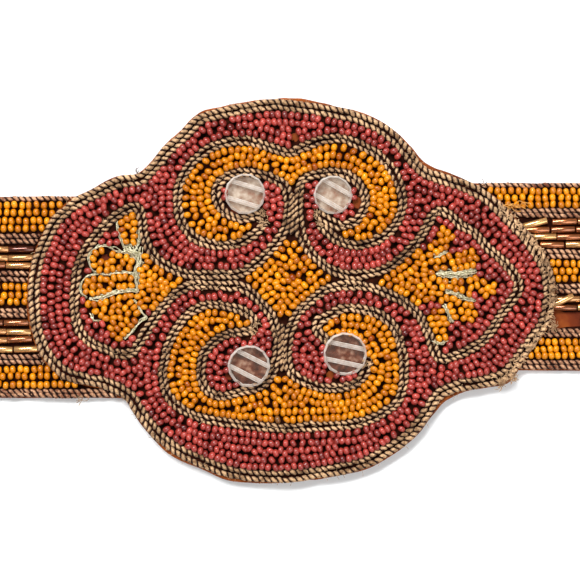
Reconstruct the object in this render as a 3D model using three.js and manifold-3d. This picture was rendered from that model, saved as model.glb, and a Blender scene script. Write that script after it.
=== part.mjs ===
// A beaded belt that lies face up: a leather strap with rows of seed beads and bugle beads, and a lobed
// front panel of leather with sewn-down twisted cords, fields of seed beads and four flat cut glass stones.
// Millimetres, +Z up, +X along the belt and +Y towards the panel's upper lobe. The strap's underside is z = 0.
import * as THREE from "three";
import { mergeVertices } from "three/addons/utils/BufferGeometryUtils.js";
import Module from "manifold-3d";

const wasm = await Module();
wasm.setup();

// The belt's driving sizes.
const BELT_LENGTH = 720; // over both halves of the clasp
const LEATHER = 1.5; // thickness of the strap, and of the panel's backing on it
const PANEL_LENGTH = 151.1;
const PANEL_HEIGHT = 110.2;
const PANEL_MARGIN = 1.1; // leather that shows outside the middle of the outer border cord
const STRAP_SHIFT_LENGTH = 60; // hidden stretch under the panel, where the strap steps up to its right side
const LEFT_BAND = { side: -1, width: 57.7, middle: -1.85 };
const RIGHT_BAND = { side: 1, width: 53.7, middle: 4 };

// Beads and cords. Every bead lies on its side, so a field is as high as its beads are thick.
const SEED_BEAD = 2.2;
const BUGLE_BEAD = 1.9;
const CORD = 1.4;
const CORD_PAIR = 2.9; // width that two cords take side by side in the scrolls
const BORDER_PAIR = 3.3; // the same in the border, where they lie a little apart
const GAP = 0.3; // between neighbours that touch on the real belt
const FIELD_GAP = 0.45; // between a cord pair and the beads beside it
const CORD_STEP = 4.2; // length of one straight facet of a cord
const OUTLINE_STEP = 4.5;
const CHART_SAMPLES = 400; // points of the border's curve that its box is read from

// The flat cut glass stones.
const STONE = 12;
const STONE_HEIGHT = 3.4;
const STONE_SIDES = 14;
const STONE_TABLE_SHARE = 0.8;
const STONE_GIRDLE_SHARE = 0.45; // of the height
const STONE_FOOT_SHARE = 0.88;
const THREAD_HOLE = 1;
const THREAD_HOLE_SPACING = 4.9;

// The clasp: a hook plate and an eye plate of sheet metal, sewn on the bare ends of the strap.
const CLASP_REACH = 10; // past the end of the leather
const CLASP_HOLD = 12; // on the leather
const CLASP_METAL = 1.2;
const CLASP_WIDTH = 34;
const BARE_END = 16; // leather without beads at each end
const HOOK_WIDTH = 24;
const HOOK_BEND = 2.1; // outer radius
const HOOK_RETURN = 4;
const EYE_LENGTH = 5.5;
const EYE_WIDTH = 27;
const EYE_BAR = 2.5; // metal beyond the eye
const SEWING_HOLE = 1.8;
const SEWING_HOLES = [
  { inwards: 0.25, across: -0.38 },
  { inwards: 0.25, across: 0.38 },
  { inwards: 0.75, across: -0.38 },
  { inwards: 0.75, across: 0.38 },
];

// The bare patch on the right band, beside the panel, where bugle beads are lost.
const BARE_PATCH = { pastPanel: 8.5, rowsLeft: 0.5 };

// The pattern is drawn on a chart whose unit is one pixel of the photograph. The border's own width and
// height on it stand for the panel's length and height, so a point is a share of those two sizes.
// The outer border cord, all the way round.
const BORDER_ROUTE = [
  [31, 297], [34, 265], [42, 241], [55, 218], [73, 202], [94, 191], [117, 179.5], [139, 176],
  [152, 165], [165, 148.5], [182, 133], [200, 116], [222, 109.5], [248, 104.5], [276, 101.5],
  [308, 105], [338, 110], [368, 118], [394, 134], [410, 151], [424, 168], [447, 177], [474, 187],
  [495, 200.5], [515, 221], [535, 244.5], [550, 273], [552, 299], [547, 323], [532, 345],
  [518, 364], [506, 378], [488, 384], [460, 389], [441, 396.5], [430, 413], [412, 436],
  [391, 452], [366, 466], [336, 473], [300, 478.5], [265, 480], [230, 475.5], [200, 464.5],
  [176, 453], [156, 437], [139, 416.5], [127, 398], [107, 387], [82, 382], [60, 373.5],
  [45, 357], [35, 334],
];

// The cord pairs inside the border, each along the middle between its two cords.
const CORD_ROUTES = {
  left_side_cord: [
    [262, 214], [253, 217], [240, 219], [226, 213], [218, 203], [216, 191], [222, 180], [233, 174],
    [247, 172], [262, 175], [276, 180], [285, 187], [288, 198], [288, 211], [286, 223], [280, 238],
    [270, 250], [259, 261], [248, 270], [236, 274], [220, 274], [204, 274.5], [189, 274.5],
    [175, 270], [160, 261], [150, 250], [145, 238], [142, 220], [139.5, 210], [134, 206.5],
    [127, 209], [111, 220], [94, 238], [83, 255], [77, 272], [75, 290], [75, 309], [79, 329],
    [89, 341], [106, 350], [121, 355], [132, 352.5], [140, 342], [150, 325], [165, 305], [179, 291],
    [191, 285.5], [206, 285.5], [222, 285.5], [237, 286.5], [248, 291], [263, 305], [273, 319],
    [276.5, 334], [276.5, 350], [275.5, 364], [270, 378], [257, 388], [241, 392], [225, 396],
    [212, 394], [203, 384], [201, 370], [204, 354], [214, 342], [228, 334], [242, 332], [253, 331],
  ],
  right_side_cord: [
    [318, 214], [329, 221], [342, 226], [355, 221], [363, 211], [365, 198], [359, 184], [347, 175],
    [331, 172], [314, 175], [303, 180], [299, 190], [299, 204], [299, 219], [302, 236], [312, 254],
    [326, 267], [343, 274], [358, 274.5], [372, 273], [386, 268.5], [402, 257], [417, 242],
    [427, 226], [433, 214.5], [440, 210.5], [447, 213], [461, 225], [476, 234], [487, 247],
    [505, 263], [515, 276], [519, 288], [512, 300], [501, 315], [489, 334], [476, 346], [461, 353],
    [450, 357.5], [441, 359], [435.5, 353], [430, 338], [420, 317.5], [408, 305], [390, 295],
    [370, 288], [355, 285.5], [340, 286], [325, 290], [311, 300.5], [298, 313], [291, 328],
    [288, 343], [287.5, 358], [290, 371], [303, 381], [320, 387], [337, 388.5], [352, 385],
    [363, 377], [367.5, 362],
  ],
  upper_scroll_cord: [
    [264, 223], [257, 232], [243, 242], [225, 245.5], [206, 243], [191, 235], [181, 221],
    [177.5, 204], [178, 188], [185, 172], [198, 157], [215, 146], [235, 141], [256, 142.5],
    [275, 149], [290, 152.5], [305, 146.5], [324, 139.5], [346, 140], [366, 148], [384, 160],
    [396, 177], [402, 197], [399, 218], [388, 233], [371, 243], [352, 245], [335, 239], [321, 225.5],
  ],
  lower_scroll_cord: [
    [256, 323], [252, 316.5], [244, 311.5], [228, 306.5], [210, 305], [195, 310], [182, 321], [172, 336],
    [165.5, 355], [163, 375], [168, 396], [182, 409.5], [202, 418], [226, 422.5], [252, 425.5],
    [278, 428], [305, 427], [335, 426], [360, 422.5], [381, 414], [397, 402], [403, 385],
    [404, 364], [400, 342], [391, 323], [376, 313], [357, 309], [341, 309.5], [328, 316],
    [319, 321], [316, 329], [329, 341],
  ],
};

// Where two strands run side by side or meet at a tip, no bead lies between them: the middle of each such place.
const CLOSED_PLACES = [
  { from: [293.5, 190], to: [293.5, 236] },
  { from: [282, 322], to: [282, 368] },
  { from: [192, 280], to: [238, 280] },
  { from: [342, 280], to: [368, 280] },
  { from: [262, 214], to: [264, 223] },
  { from: [318, 214], to: [321, 225.5] },
  { from: [253, 331], to: [256, 323] },
  { from: [328, 341], to: [345, 354] },
  { from: [367.5, 362], to: [345, 354] },
];

// One chart point inside each field of beads. The cords part the fields from each other.
const FIELDS = [
  { name: "red_ground_beads", inside: [290, 125], color: "red" },
  { name: "yellow_upper_scroll_beads", inside: [290, 168], color: "yellow" },
  { name: "yellow_lower_scroll_beads", inside: [290, 405], color: "yellow" },
  { name: "yellow_diamond_beads", inside: [290, 276], color: "yellow" },
  { name: "left_fan_beads", inside: [120, 285], color: "yellow" },
  { name: "right_fan_beads", inside: [480, 290], color: "yellow" },
];

// Each stone's middle on the chart, its size as a share of STONE, and the slant of its thread holes.
const STONES = [
  { name: "stone_upper_left", at: [245, 194], size: 0.98, slant: -17 },
  { name: "stone_upper_right", at: [333, 195], size: 0.93, slant: -30 },
  { name: "stone_lower_left", at: [249, 366], size: 1.02, slant: -27 },
  { name: "stone_lower_right", at: [345, 354], size: 1.05, slant: -12 },
];

// The rows of each band from its top edge down. share is of the band's width.
const LEFT_STRIPES = [
  { kind: "cord", rows: 1, share: 0.022 },
  { kind: "seed", rows: 4, share: 0.159 },
  { kind: "cord", rows: 2, share: 0.059 },
  { kind: "bugle", rows: 3, share: 0.124 },
  { kind: "cord", rows: 2, share: 0.064 },
  { kind: "seed", rows: 3, share: 0.119 },
  { kind: "cord", rows: 2, share: 0.054 },
  { kind: "bugle", rows: 4, share: 0.183 },
  { kind: "cord", rows: 2, share: 0.05 },
  { kind: "seed", rows: 3, share: 0.119 },
  { kind: "cord", rows: 2, share: 0.047 },
];
const RIGHT_STRIPES = [
  { kind: "cord", rows: 1, share: 0.024 },
  { kind: "seed", rows: 3, share: 0.112 },
  { kind: "cord", rows: 2, share: 0.045 },
  { kind: "bugle", rows: 4, share: 0.173 },
  { kind: "cord", rows: 2, share: 0.053 },
  { kind: "seed", rows: 3, share: 0.128 },
  { kind: "cord", rows: 2, share: 0.061 },
  { kind: "bugle", rows: 4, share: 0.175, worn: true },
  { kind: "cord", rows: 2, share: 0.051 },
  { kind: "seed", rows: 3, share: 0.12 },
  { kind: "cord", rows: 2, share: 0.058 },
];

// Half of the round back of one row of beads or one cord: its place across the row and its height.
const RIDGE = [
  { across: 0, height: 0.5 },
  { across: 0.2, height: 0.9 },
  { across: 0.5, height: 1 },
  { across: 0.8, height: 0.9 },
];

const STRIPE_LOOK = {
  seed: { height: SEED_BEAD, color: "yellow", noun: "seed_beads" },
  bugle: { height: BUGLE_BEAD, color: "copper", noun: "bugle_beads" },
  cord: { height: CORD, color: "cord", noun: "cord" },
};

const MATERIALS = {
  leather: new THREE.MeshStandardMaterial({ color: 0x9a5218, roughness: 0.85 }),
  red: new THREE.MeshStandardMaterial({ color: 0xb93a38, roughness: 0.3 }),
  yellow: new THREE.MeshStandardMaterial({ color: 0xf0a000, roughness: 0.3 }),
  copper: new THREE.MeshStandardMaterial({ color: 0xa8653f, roughness: 0.25, metalness: 0.5 }),
  cord: new THREE.MeshStandardMaterial({ color: 0x8a6f4e, roughness: 0.9 }),
  glass: new THREE.MeshStandardMaterial({ color: 0xd9cfc6, roughness: 0.15 }),
  metal: new THREE.MeshStandardMaterial({ color: 0x9c9a92, roughness: 0.35, metalness: 1 }),
};

const PANEL_TOP = 2 * LEATHER;
const STRAP_END = BELT_LENGTH / 2 - CLASP_REACH;
const TALL = 4 * STONE_HEIGHT; // height of a cutter that passes right through

// A smooth curve through flat points.
function curveThrough(points, closed) {
  const flat = points.map((p) => new THREE.Vector3(p.x, p.y, 0));
  return new THREE.CatmullRomCurve3(flat, closed, "centripetal");
}

// The border's box on the chart.
const chartBorder = curveThrough(BORDER_ROUTE.map(([x, y]) => new THREE.Vector2(x, y)), true);
const chartBox = new THREE.Box3().setFromPoints(chartBorder.getPoints(CHART_SAMPLES));
const chartMiddle = chartBox.getCenter(new THREE.Vector3());
const chartSize = chartBox.getSize(new THREE.Vector3());

// A chart point in millimetres.
function place([x, y]) {
  return new THREE.Vector2(
    ((x - chartMiddle.x) / chartSize.x) * (PANEL_LENGTH - 2 * PANEL_MARGIN),
    ((chartMiddle.y - y) / chartSize.y) * (PANEL_HEIGHT - 2 * PANEL_MARGIN),
  );
}

// A closed list of points moved inwards by a distance, or outwards by a negative one.
function movedInwards(points, distance) {
  const outline = new THREE.Shape(points);
  const turn = THREE.ShapeUtils.isClockWise(outline.getPoints()) ? -1 : 1;
  return points.map((point, i) => {
    const before = points.at(i - 1);
    const after = points[(i + 1) % points.length];
    const along = after.clone().sub(before).normalize();
    return new THREE.Vector2(-along.y, along.x).multiplyScalar(turn * distance).add(point);
  });
}

// The outer border cord as evenly spaced points, without a second first point.
function borderPoints() {
  const curve = curveThrough(BORDER_ROUTE.map(place), true);
  const count = Math.round(curve.getLength() / OUTLINE_STEP);
  return curve.getSpacedPoints(count).slice(0, count).map((p) => new THREE.Vector2(p.x, p.y));
}

// A closed geometry as a solid that can be cut.
function solidOf(geometry) {
  const bare = geometry.clone();
  bare.deleteAttribute("normal");
  bare.deleteAttribute("uv");
  const merged = mergeVertices(bare, 1e-4);
  return new wasm.Manifold(
    new wasm.Mesh({
      numProp: 3,
      vertProperties: merged.attributes.position.array,
      triVerts: new Uint32Array(merged.index.array),
    }),
  );
}

function geometryOf(solid) {
  const mesh = solid.getMesh();
  const geometry = new THREE.BufferGeometry();
  geometry.setAttribute("position", new THREE.BufferAttribute(mesh.vertProperties, 3));
  geometry.setIndex(new THREE.BufferAttribute(mesh.triVerts, 1));
  geometry.computeVertexNormals();
  return geometry;
}

// A flat outline raised from z = 0, or from a lower start.
function prism(outline, height, from = 0) {
  const shape = outline instanceof THREE.Shape ? outline : new THREE.Shape(outline);
  const settings = { depth: height, bevelEnabled: false, curveSegments: 4 };
  return new THREE.ExtrudeGeometry(shape, settings).translate(0, 0, from);
}

// A profile drawn in Y and Z, run along X.
function bar(profile, start, end) {
  const settings = { depth: end - start, bevelEnabled: false, curveSegments: 4 };
  const turned = new THREE.Matrix4().makeBasis(
    new THREE.Vector3(0, 1, 0),
    new THREE.Vector3(0, 0, 1),
    new THREE.Vector3(1, 0, 0),
  );
  const run = new THREE.ExtrudeGeometry(new THREE.Shape(profile), settings);
  return run.applyMatrix4(turned).translate(start, 0, 0);
}

// The top line of some ridges side by side, as points of width and height.
function ridges(count, width, height) {
  const pitch = width / count;
  const points = [];
  for (let row = 0; row < count; row += 1) {
    RIDGE.forEach(({ across, height: share }) => {
      points.push(new THREE.Vector2((row + across) * pitch, share * height));
    });
  }
  points.push(new THREE.Vector2(width, RIDGE[0].height * height));
  return points;
}

// A flat-bottomed section of two cords side by side. A swept section's x points down.
function cordPairSection(width) {
  const half = width / 2;
  return new THREE.Shape([
    new THREE.Vector2(0, -half),
    new THREE.Vector2(-CORD, -half * 0.55),
    new THREE.Vector2(-CORD * 0.7, 0),
    new THREE.Vector2(-CORD, half * 0.55),
    new THREE.Vector2(0, half),
  ]);
}

// The section of the room that a cord pair and a gap on each side take.
function corridorSection(width) {
  const half = width / 2;
  return new THREE.Shape([
    new THREE.Vector2(TALL, -half),
    new THREE.Vector2(-TALL, -half),
    new THREE.Vector2(-TALL, half),
    new THREE.Vector2(TALL, half),
  ]);
}

function sweep(section, curve, steps) {
  return new THREE.ExtrudeGeometry(section, { steps, extrudePath: curve, bevelEnabled: false });
}

// A section run along a route in two halves that share one facet, because a side cord comes back beside itself.
function sweptRoute(section, route) {
  const whole = curveThrough(route.map(place), false);
  const half = Math.ceil(whole.getLength() / CORD_STEP / 2);
  const points = whole.getSpacedPoints(2 * half);
  const [first, second] = [points.slice(0, half + 1), points.slice(half - 1)].map((part) =>
    solidOf(sweep(section, curveThrough(part, false), part.length - 1)),
  );
  return first.add(second);
}

const meshes = new THREE.Group();

function add(name, geometry, material, height = 0) {
  const mesh = new THREE.Mesh(geometry, MATERIALS[material]);
  mesh.name = name;
  mesh.position.z = height;
  meshes.add(mesh);
}

// The strap: one strip of leather whose right half lies a little higher than its left half.
function strapOutline() {
  const bend = STRAP_SHIFT_LENGTH / 2;
  const lowLeft = LEFT_BAND.middle - LEFT_BAND.width / 2;
  const lowRight = RIGHT_BAND.middle - RIGHT_BAND.width / 2;
  return [
    new THREE.Vector2(-STRAP_END, lowLeft),
    new THREE.Vector2(-bend, lowLeft),
    new THREE.Vector2(bend, lowRight),
    new THREE.Vector2(STRAP_END, lowRight),
    new THREE.Vector2(STRAP_END, lowRight + RIGHT_BAND.width),
    new THREE.Vector2(bend, lowRight + RIGHT_BAND.width),
    new THREE.Vector2(-bend, lowLeft + LEFT_BAND.width),
    new THREE.Vector2(-STRAP_END, lowLeft + LEFT_BAND.width),
  ];
}

// One stripe's bar, from inside the panel's outline to the bare end of the strap.
function stripeBar(band, stripe, top, width) {
  const look = STRIPE_LOOK[stripe.kind];
  const clear = width - GAP;
  const low = top - width + GAP / 2;
  const profile = ridges(stripe.rows, clear, look.height).map((p) => new THREE.Vector2(low + p.x, p.y));
  profile.unshift(new THREE.Vector2(low, 0));
  profile.push(new THREE.Vector2(low + clear, 0));
  const far = STRAP_END - BARE_END;
  return solidOf(band.side < 0 ? bar(profile, -far, 0) : bar(profile, 0, far));
}

// The room of the lost bugle beads: the lower rows of the stripe, from the panel to the patch's end.
function barePatch(top, width) {
  const low = top - width;
  const high = top - width * BARE_PATCH.rowsLeft;
  const profile = [
    new THREE.Vector2(low, -TALL),
    new THREE.Vector2(high, -TALL),
    new THREE.Vector2(high, TALL),
    new THREE.Vector2(low, TALL),
  ];
  return solidOf(bar(profile, 0, PANEL_LENGTH / 2 + BARE_PATCH.pastPanel));
}

// All stripes of one band, cut off at the edge of the panel.
function addBand(side, band, stripes, panelRoom) {
  let top = band.middle + band.width / 2;
  const seen = {};
  stripes.forEach((stripe) => {
    const look = STRIPE_LOOK[stripe.kind];
    const width = stripe.share * band.width;
    let solid = stripeBar(band, stripe, top, width).subtract(panelRoom);
    if (stripe.worn) solid = solid.subtract(barePatch(top, width));
    seen[stripe.kind] = (seen[stripe.kind] ?? 0) + 1;
    add(`${side}_${look.noun}_${seen[stripe.kind]}`, geometryOf(solid), look.color, LEATHER);
    top -= width;
  });
}

// A flat round glass stone with a table, a bevel, a girdle and a foot, drilled twice right across.
function stoneSolid({ at, size, slant }) {
  const radius = (STONE * size) / 2;
  const profile = [
    new THREE.Vector2(0, 0),
    new THREE.Vector2(radius * STONE_FOOT_SHARE, 0),
    new THREE.Vector2(radius, STONE_HEIGHT * STONE_GIRDLE_SHARE),
    new THREE.Vector2(radius * STONE_TABLE_SHARE, STONE_HEIGHT),
    new THREE.Vector2(0, STONE_HEIGHT),
  ];
  const upright = new THREE.LatheGeometry(profile, STONE_SIDES).rotateX(Math.PI / 2);
  let stone = solidOf(upright);
  [-0.5, 0.5].forEach((side) => {
    const hole = new THREE.CylinderGeometry(THREAD_HOLE / 2, THREAD_HOLE / 2, 2 * STONE, 6);
    hole.rotateZ(Math.PI / 2).translate(0, side * THREAD_HOLE_SPACING, STONE_HEIGHT * STONE_GIRDLE_SHARE);
    hole.rotateZ(THREE.MathUtils.degToRad(slant));
    stone = stone.subtract(solidOf(hole));
  });
  const middle = place(at);
  return stone.translate([middle.x, middle.y, 0]);
}

// The room of a stone in the beads and cords round it.
function stoneRoom({ at, size }) {
  const radius = (STONE * size) / 2 + GAP;
  const middle = place(at);
  const room = new THREE.CylinderGeometry(radius, radius, 2 * TALL, STONE_SIDES);
  return solidOf(room.rotateX(Math.PI / 2).translate(middle.x, middle.y, 0));
}

function biggest(solid) {
  return solid.decompose().reduce((most, body) => (body.volume() > most.volume() ? body : most));
}

// The border's cord pair, laid open where its ends meet.
function borderCord(outerCord) {
  const middle = movedInwards(outerCord, (BORDER_PAIR - CORD) / 2);
  const parting = middle[0].clone().sub(middle.at(-1)).setLength(GAP);
  const route = [...middle, middle[0].clone().sub(parting)];
  return sweep(cordPairSection(BORDER_PAIR), curveThrough(route, false), route.length - 1);
}

// The cord pairs inside the border. A later one stops short of an earlier one, and all make room for a stone.
function addScrollCords(stoneRooms) {
  let taken = stoneRooms;
  Object.entries(CORD_ROUTES).forEach(([name, route]) => {
    const solid = sweptRoute(cordPairSection(CORD_PAIR - GAP), route).subtract(taken);
    add(name, geometryOf(biggest(solid)), "cord", PANEL_TOP);
    taken = taken.add(sweptRoute(corridorSection(CORD_PAIR + GAP), route));
  });
}

// The beads that fill what the cords and the stones leave free inside the border.
function addFields(outerCord, stoneRooms) {
  const inside = movedInwards(outerCord, BORDER_PAIR - CORD / 2 + FIELD_GAP);
  let beds = solidOf(prism(inside, SEED_BEAD)).subtract(stoneRooms);
  const room = corridorSection(CORD_PAIR + 2 * FIELD_GAP - GAP);
  Object.values(CORD_ROUTES).forEach((route) => {
    beds = beds.subtract(sweptRoute(room, route));
  });
  CLOSED_PLACES.forEach(({ from, to }) => {
    beds = beds.subtract(solidOf(sweep(room, curveThrough([place(from), place(to)], false), 1)));
  });
  const bodies = beds.decompose();
  FIELDS.forEach(({ name, inside: point, color }) => {
    const middle = place(point);
    const probe = solidOf(new THREE.BoxGeometry(1, 1, 1).translate(middle.x, middle.y, SEED_BEAD / 2));
    const bed = bodies.find((body) => body.intersect(probe).volume() > 0);
    add(name, geometryOf(bed), color, PANEL_TOP);
  });
}

function addStones() {
  STONES.forEach((stone) => add(stone.name, geometryOf(stoneSolid(stone)), "glass", PANEL_TOP));
}

// The four small round holes through which a clasp plate is sewn on.
function sewingHoles(end, middle) {
  return SEWING_HOLES.map(({ inwards, across }) => {
    const hole = new THREE.Path();
    const x = end * (STRAP_END - CLASP_HOLD * inwards);
    hole.absarc(x, middle + across * CLASP_WIDTH, SEWING_HOLE / 2, 0, 2 * Math.PI, false);
    return hole;
  });
}

function rectangle(x0, x1, y0, y1) {
  return [
    new THREE.Vector2(x0, y0),
    new THREE.Vector2(x1, y0),
    new THREE.Vector2(x1, y1),
    new THREE.Vector2(x0, y1),
  ];
}

// The eye half: a flat plate with a wide slot past the end of the leather.
function eyePlate() {
  const { middle } = RIGHT_BAND;
  const half = CLASP_WIDTH / 2;
  const tip = STRAP_END + CLASP_REACH;
  const plate = new THREE.Shape(rectangle(STRAP_END - CLASP_HOLD, tip, middle - half, middle + half));
  const slot = rectangle(
    tip - EYE_BAR - EYE_LENGTH,
    tip - EYE_BAR,
    middle - EYE_WIDTH / 2,
    middle + EYE_WIDTH / 2,
  );
  plate.holes.push(new THREE.Path(slot), ...sewingHoles(1, middle));
  return prism(plate, CLASP_METAL);
}

// The hook half: a plate on the leather and a narrower tongue that bends up and back over itself.
function hookPlate() {
  const { middle } = LEFT_BAND;
  const half = CLASP_WIDTH / 2;
  const outline = rectangle(-STRAP_END, -STRAP_END + CLASP_HOLD, middle - half, middle + half);
  const plate = new THREE.Shape(outline);
  plate.holes.push(...sewingHoles(-1, middle));
  const bend = CLASP_REACH - HOOK_BEND;
  const profile = new THREE.Shape();
  profile.moveTo(-1, 0);
  profile.lineTo(bend, 0);
  profile.absarc(bend, HOOK_BEND, HOOK_BEND, -Math.PI / 2, Math.PI / 2, false);
  profile.lineTo(bend - HOOK_RETURN, 2 * HOOK_BEND);
  profile.lineTo(bend - HOOK_RETURN, 2 * HOOK_BEND - CLASP_METAL);
  profile.lineTo(bend, 2 * HOOK_BEND - CLASP_METAL);
  profile.absarc(bend, HOOK_BEND, HOOK_BEND - CLASP_METAL, Math.PI / 2, -Math.PI / 2, true);
  profile.lineTo(-1, CLASP_METAL);
  profile.closePath();
  const tongue = prism(profile, HOOK_WIDTH);
  tongue.rotateX(Math.PI / 2).rotateZ(Math.PI);
  tongue.translate(-STRAP_END, middle - HOOK_WIDTH / 2, 0);
  return geometryOf(solidOf(prism(plate, CLASP_METAL)).add(solidOf(tongue)));
}

const outerCord = borderPoints();
const panelOutline = movedInwards(outerCord, -PANEL_MARGIN);
const panelRoom = solidOf(prism(movedInwards(outerCord, -PANEL_MARGIN - GAP), 2 * TALL, -TALL));
const stoneRooms = STONES.map(stoneRoom).reduce((all, room) => all.add(room));

add("strap_leather", prism(strapOutline(), LEATHER), "leather");
addBand("left", LEFT_BAND, LEFT_STRIPES, panelRoom);
addBand("right", RIGHT_BAND, RIGHT_STRIPES, panelRoom);
add("panel_backing", prism(panelOutline, LEATHER), "leather", LEATHER);
add("border_cord", borderCord(outerCord), "cord", PANEL_TOP);
addScrollCords(stoneRooms);
addFields(outerCord, stoneRooms);
addStones();
add("clasp_hook", hookPlate(), "metal", LEATHER);
add("clasp_eye", eyePlate(), "metal", LEATHER);

export default meshes;
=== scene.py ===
"""A beaded belt, dressed round its solid model: leather, beads, twisted cords and cut glass.

The pattern's points are charted in the photograph's pixels and turned into shares of the panel's size, as
in the solid model. Lengths in the code are millimetres until a mesh is made, and metres from there on.
"""

import math
from collections import deque

import bmesh
import bpy
import numpy as np
from bpy.props import FloatProperty, FloatVectorProperty, IntProperty, PointerProperty
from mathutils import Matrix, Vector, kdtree


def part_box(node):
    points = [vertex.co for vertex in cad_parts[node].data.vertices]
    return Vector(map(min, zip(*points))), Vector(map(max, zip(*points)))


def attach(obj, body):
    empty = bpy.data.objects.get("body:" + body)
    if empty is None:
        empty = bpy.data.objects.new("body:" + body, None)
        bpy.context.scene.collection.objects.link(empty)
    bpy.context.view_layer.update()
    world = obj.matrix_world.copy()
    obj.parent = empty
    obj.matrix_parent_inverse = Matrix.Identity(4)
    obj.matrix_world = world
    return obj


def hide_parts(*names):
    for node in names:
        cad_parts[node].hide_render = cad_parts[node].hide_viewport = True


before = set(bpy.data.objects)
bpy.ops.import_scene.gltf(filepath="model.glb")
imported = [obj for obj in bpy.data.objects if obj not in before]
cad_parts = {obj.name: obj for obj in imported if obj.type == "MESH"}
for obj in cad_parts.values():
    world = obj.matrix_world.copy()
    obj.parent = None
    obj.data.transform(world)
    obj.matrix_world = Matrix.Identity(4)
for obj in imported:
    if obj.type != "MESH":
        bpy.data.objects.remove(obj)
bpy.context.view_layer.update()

bl_info = {
    "name": "Beaded belt",
    "version": (1, 0, 0),
    "blender": (4, 5, 0),
    "location": "View3D > Sidebar > Belt",
    "description": "Makes a leather belt with a beaded panel, striped bead bands and cut glass stones",
    "category": "Add Mesh",
}

MM = 0.001
BODY = "root"
SENSOR_MM = 36
CHART_MIDDLE = (290, 290)

# Sizes shared with the solid model, in millimetres.
LEATHER = 1.5
PANEL_TOP = 2 * LEATHER
PANEL_MARGIN = 1.1
SEED_BEAD = 2.2
CORD = 1.4
CORD_PAIR = 2.9
BORDER_PAIR = 3.3
GAP = 0.3
STONE = 12
STONE_FOOT = 0.88
STONE_HOLES = 4.9
STONE_RINGS = ((0.88, 0.06), (1, 0.42), (1, 0.6), (0.91, 1))  # shares of the radius and of the height
STONE_HOLE_WALLS = (("hole", 0, 1.15), ("near_wall", -0.52, 0.26), ("far_wall", 0.52, 0.26))  # place, width
STRAP_SHIFT_LENGTH = 60
BARE_PATCH_PAST_PANEL = 8.5

# Small play of what is sewn by hand, in millimetres: how far beads tuck under a cord, and between two cords.
TUCKED = 0.05
PAIR_SLACK = 0.05
PLY_SWELL = 1.12  # a ply is made thicker than its share of the cord, so that the two press into each other

# The outer border cord, all the way round, in pixels of the photograph.
BORDER_ROUTE = [
    (31, 297), (34, 265), (42, 241), (55, 218), (73, 202), (94, 191), (117, 179.5), (139, 176),
    (152, 165), (165, 148.5), (182, 133), (200, 116), (222, 109.5), (248, 104.5), (276, 101.5),
    (308, 105), (338, 110), (368, 118), (394, 134), (410, 151), (424, 168), (447, 177), (474, 187),
    (495, 200.5), (515, 221), (535, 244.5), (550, 273), (552, 299), (547, 323), (532, 345),
    (518, 364), (506, 378), (488, 384), (460, 389), (441, 396.5), (430, 413), (412, 436),
    (391, 452), (366, 466), (336, 473), (300, 478.5), (265, 480), (230, 475.5), (200, 464.5),
    (176, 453), (156, 437), (139, 416.5), (127, 398), (107, 387), (82, 382), (60, 373.5),
    (45, 357), (35, 334),
]

# The cord pairs inside the border, each along the middle between its two cords.
CORD_ROUTES = {
    "left_side_cord": [
        (262, 214), (253, 217), (240, 219), (226, 213), (218, 203), (216, 191), (222, 180), (233, 174),
        (247, 172), (262, 175), (276, 180), (285, 187), (288, 198), (288, 211), (286, 223), (280, 238),
        (270, 250), (259, 261), (248, 270), (236, 274), (220, 274), (204, 274.5), (189, 274.5),
        (175, 270), (160, 261), (150, 250), (145, 238), (142, 220), (139.5, 210), (134, 206.5),
        (127, 209), (111, 220), (94, 238), (83, 255), (77, 272), (75, 290), (75, 309), (79, 329),
        (89, 341), (106, 350), (121, 355), (132, 352.5), (140, 342), (150, 325), (165, 305), (179, 291),
        (191, 285.5), (206, 285.5), (222, 285.5), (237, 286.5), (248, 291), (263, 305), (273, 319),
        (276.5, 334), (276.5, 350), (275.5, 364), (270, 378), (257, 388), (241, 392), (225, 396),
        (212, 394), (203, 384), (201, 370), (204, 354), (214, 342), (228, 334), (242, 332), (253, 331),
    ],
    "right_side_cord": [
        (318, 214), (329, 221), (342, 226), (355, 221), (363, 211), (365, 198), (359, 184), (347, 175),
        (331, 172), (314, 175), (303, 180), (299, 190), (299, 204), (299, 219), (302, 236), (312, 254),
        (326, 267), (343, 274), (358, 274.5), (372, 273), (386, 268.5), (402, 257), (417, 242),
        (427, 226), (433, 214.5), (440, 210.5), (447, 213), (461, 225), (476, 234), (487, 247),
        (505, 263), (515, 276), (519, 288), (512, 300), (501, 315), (489, 334), (476, 346), (461, 353),
        (450, 357.5), (441, 359), (435.5, 353), (430, 338), (420, 317.5), (408, 305), (390, 295),
        (370, 288), (355, 285.5), (340, 286), (325, 290), (311, 300.5), (298, 313), (291, 328),
        (288, 343), (287.5, 358), (290, 371), (303, 381), (320, 387), (337, 388.5), (352, 385),
        (363, 377), (367.5, 362),
    ],
    "upper_scroll_cord": [
        (264, 223), (257, 232), (243, 242), (225, 245.5), (206, 243), (191, 235), (181, 221),
        (177.5, 204), (178, 188), (185, 172), (198, 157), (215, 146), (235, 141), (256, 142.5),
        (275, 149), (290, 152.5), (305, 146.5), (324, 139.5), (346, 140), (366, 148), (384, 160),
        (396, 177), (402, 197), (399, 218), (388, 233), (371, 243), (352, 245), (335, 239), (321, 225.5),
    ],
    "lower_scroll_cord": [
        (256, 323), (252, 316.5), (244, 311.5), (228, 306.5), (210, 305), (195, 310), (182, 321),
        (172, 336), (165.5, 355), (163, 375), (168, 396), (182, 409.5), (202, 418), (226, 422.5),
        (252, 425.5), (278, 428), (305, 427), (335, 426), (360, 422.5), (381, 414), (397, 402),
        (403, 385), (404, 364), (400, 342), (391, 323), (376, 313), (357, 309), (341, 309.5),
        (328, 316), (319, 321), (316, 329), (329, 341),
    ],
}

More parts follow.
